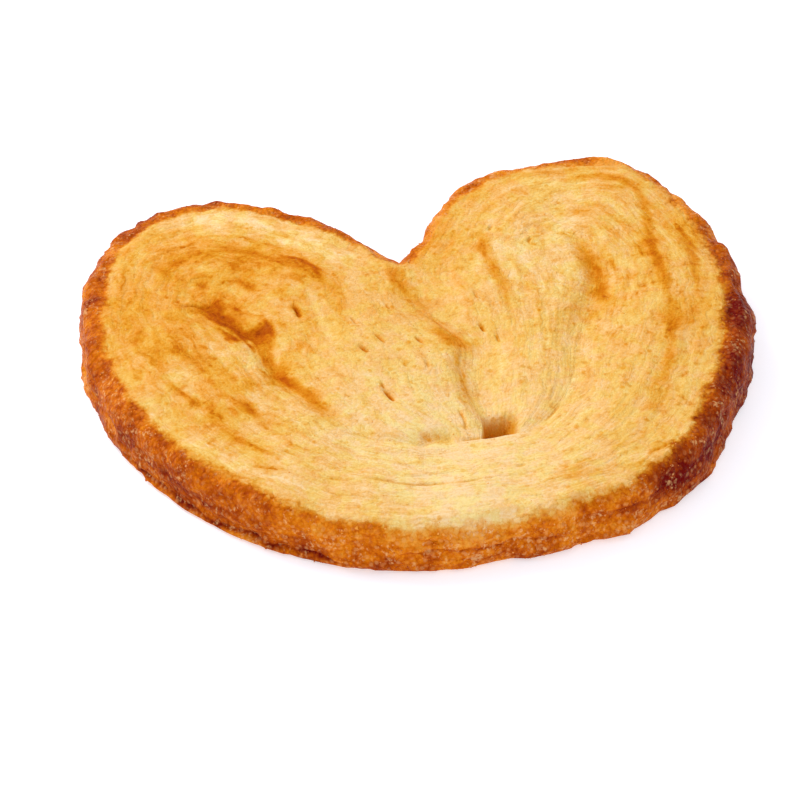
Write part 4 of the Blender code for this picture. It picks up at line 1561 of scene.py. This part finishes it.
class PALMIER_OT_stage(bpy.types.Operator):
    """Set up the pale floor, the soft studio light and the camera"""

    bl_idname = "palmier.stage"
    bl_label = "Stage"

    def execute(self, context):
        scene = context.scene
        stage = scene.palmier_stage
        mesh = bpy.data.meshes.new("floor")
        corners = [
            (FLOOR_REACH * side, FLOOR_REACH * end, -FLOOR_DROP)
            for side, end in ((-1, -1), (1, -1), (1, 1), (-1, 1))]
        mesh.from_pydata(corners, [], [(0, 1, 2, 3)])
        floor = bpy.data.objects.new("floor", mesh)
        mesh.materials.append(floor_material(scene.palmier_colours, stage.glow))
        scene.collection.objects.link(floor)
        world = bpy.data.worlds.new("soft_sky")
        world.use_nodes = True
        sky = world.node_tree.nodes["Background"]
        sky.inputs["Color"].default_value = (1.0, 1.0, 1.0, 1.0)
        sky.inputs["Strength"].default_value = stage.sky
        scene.world = world
        for name, power in (("key", stage.key), ("fill", stage.fill)):
            add_light(scene, name, *LIGHTS[name], power)
        scene.view_settings.view_transform = "Standard"
        camera = bpy.data.objects.new("camera", bpy.data.cameras.new("camera"))
        scene.collection.objects.link(camera)
        flat = math.cos(stage.elevation)
        back = Vector((
            math.sin(stage.azimuth) * flat, -math.cos(stage.azimuth) * flat,
            math.sin(stage.elevation)))
        camera.location = Vector(stage.aim) + back * stage.distance
        camera.rotation_euler = (-back).to_track_quat("-Z", "Y").to_euler()
        camera.data.lens = stage.lens
        camera.data.sensor_width = FILM_WIDTH
        camera.data.clip_start = 0.01
        camera.data.clip_end = 20.0
        scene.camera = camera
        return {"FINISHED"}


def add_light(scene, name, where, width, power):
    """A large soft light that faces the slice."""
    light = bpy.data.lights.new(name, "AREA")
    light.shape = "DISK"
    light.size = width
    light.energy = power
    lamp = bpy.data.objects.new(name, light)
    lamp.location = where
    lamp.rotation_euler = (-Vector(where)).to_track_quat("-Z", "Y").to_euler()
    scene.collection.objects.link(lamp)


class PALMIER_PT_panel(bpy.types.Panel):
    """The palmier's pieces and settings"""

    bl_label = "Palmier"
    bl_idname = "PALMIER_PT_panel"
    bl_space_type = "VIEW_3D"
    bl_region_type = "UI"
    bl_category = "Palmier"

    def draw(self, context):
        layout = self.layout
        for operator in OPERATORS:
            layout.operator(operator.bl_idname)
        for group in (
                context.scene.palmier_sizes, context.scene.palmier_colours,
                context.scene.palmier_stage):
            box = layout.box()
            for name in group.__annotations__:
                box.prop(group, name)


OPERATORS = (PALMIER_OT_slice, PALMIER_OT_sugar, PALMIER_OT_stage)
CLASSES = (PalmierSizes, PalmierColours, PalmierStage, *OPERATORS, PALMIER_PT_panel)


def register():
    """Set up the operators, the panel and the settings."""
    for kind in CLASSES:
        bpy.utils.register_class(kind)
    bpy.types.Scene.palmier_sizes = PointerProperty(type=PalmierSizes)
    bpy.types.Scene.palmier_colours = PointerProperty(type=PalmierColours)
    bpy.types.Scene.palmier_stage = PointerProperty(type=PalmierStage)


def unregister():
    """Take them out again."""
    del bpy.types.Scene.palmier_stage
    del bpy.types.Scene.palmier_colours
    del bpy.types.Scene.palmier_sizes
    for kind in reversed(CLASSES):
        bpy.utils.unregister_class(kind)


def main():
    """Make every piece in order."""
    register()
    bpy.ops.palmier.slice()
    bpy.ops.palmier.sugar()
    bpy.ops.palmier.stage()


if __name__ == "__main__":
    main()
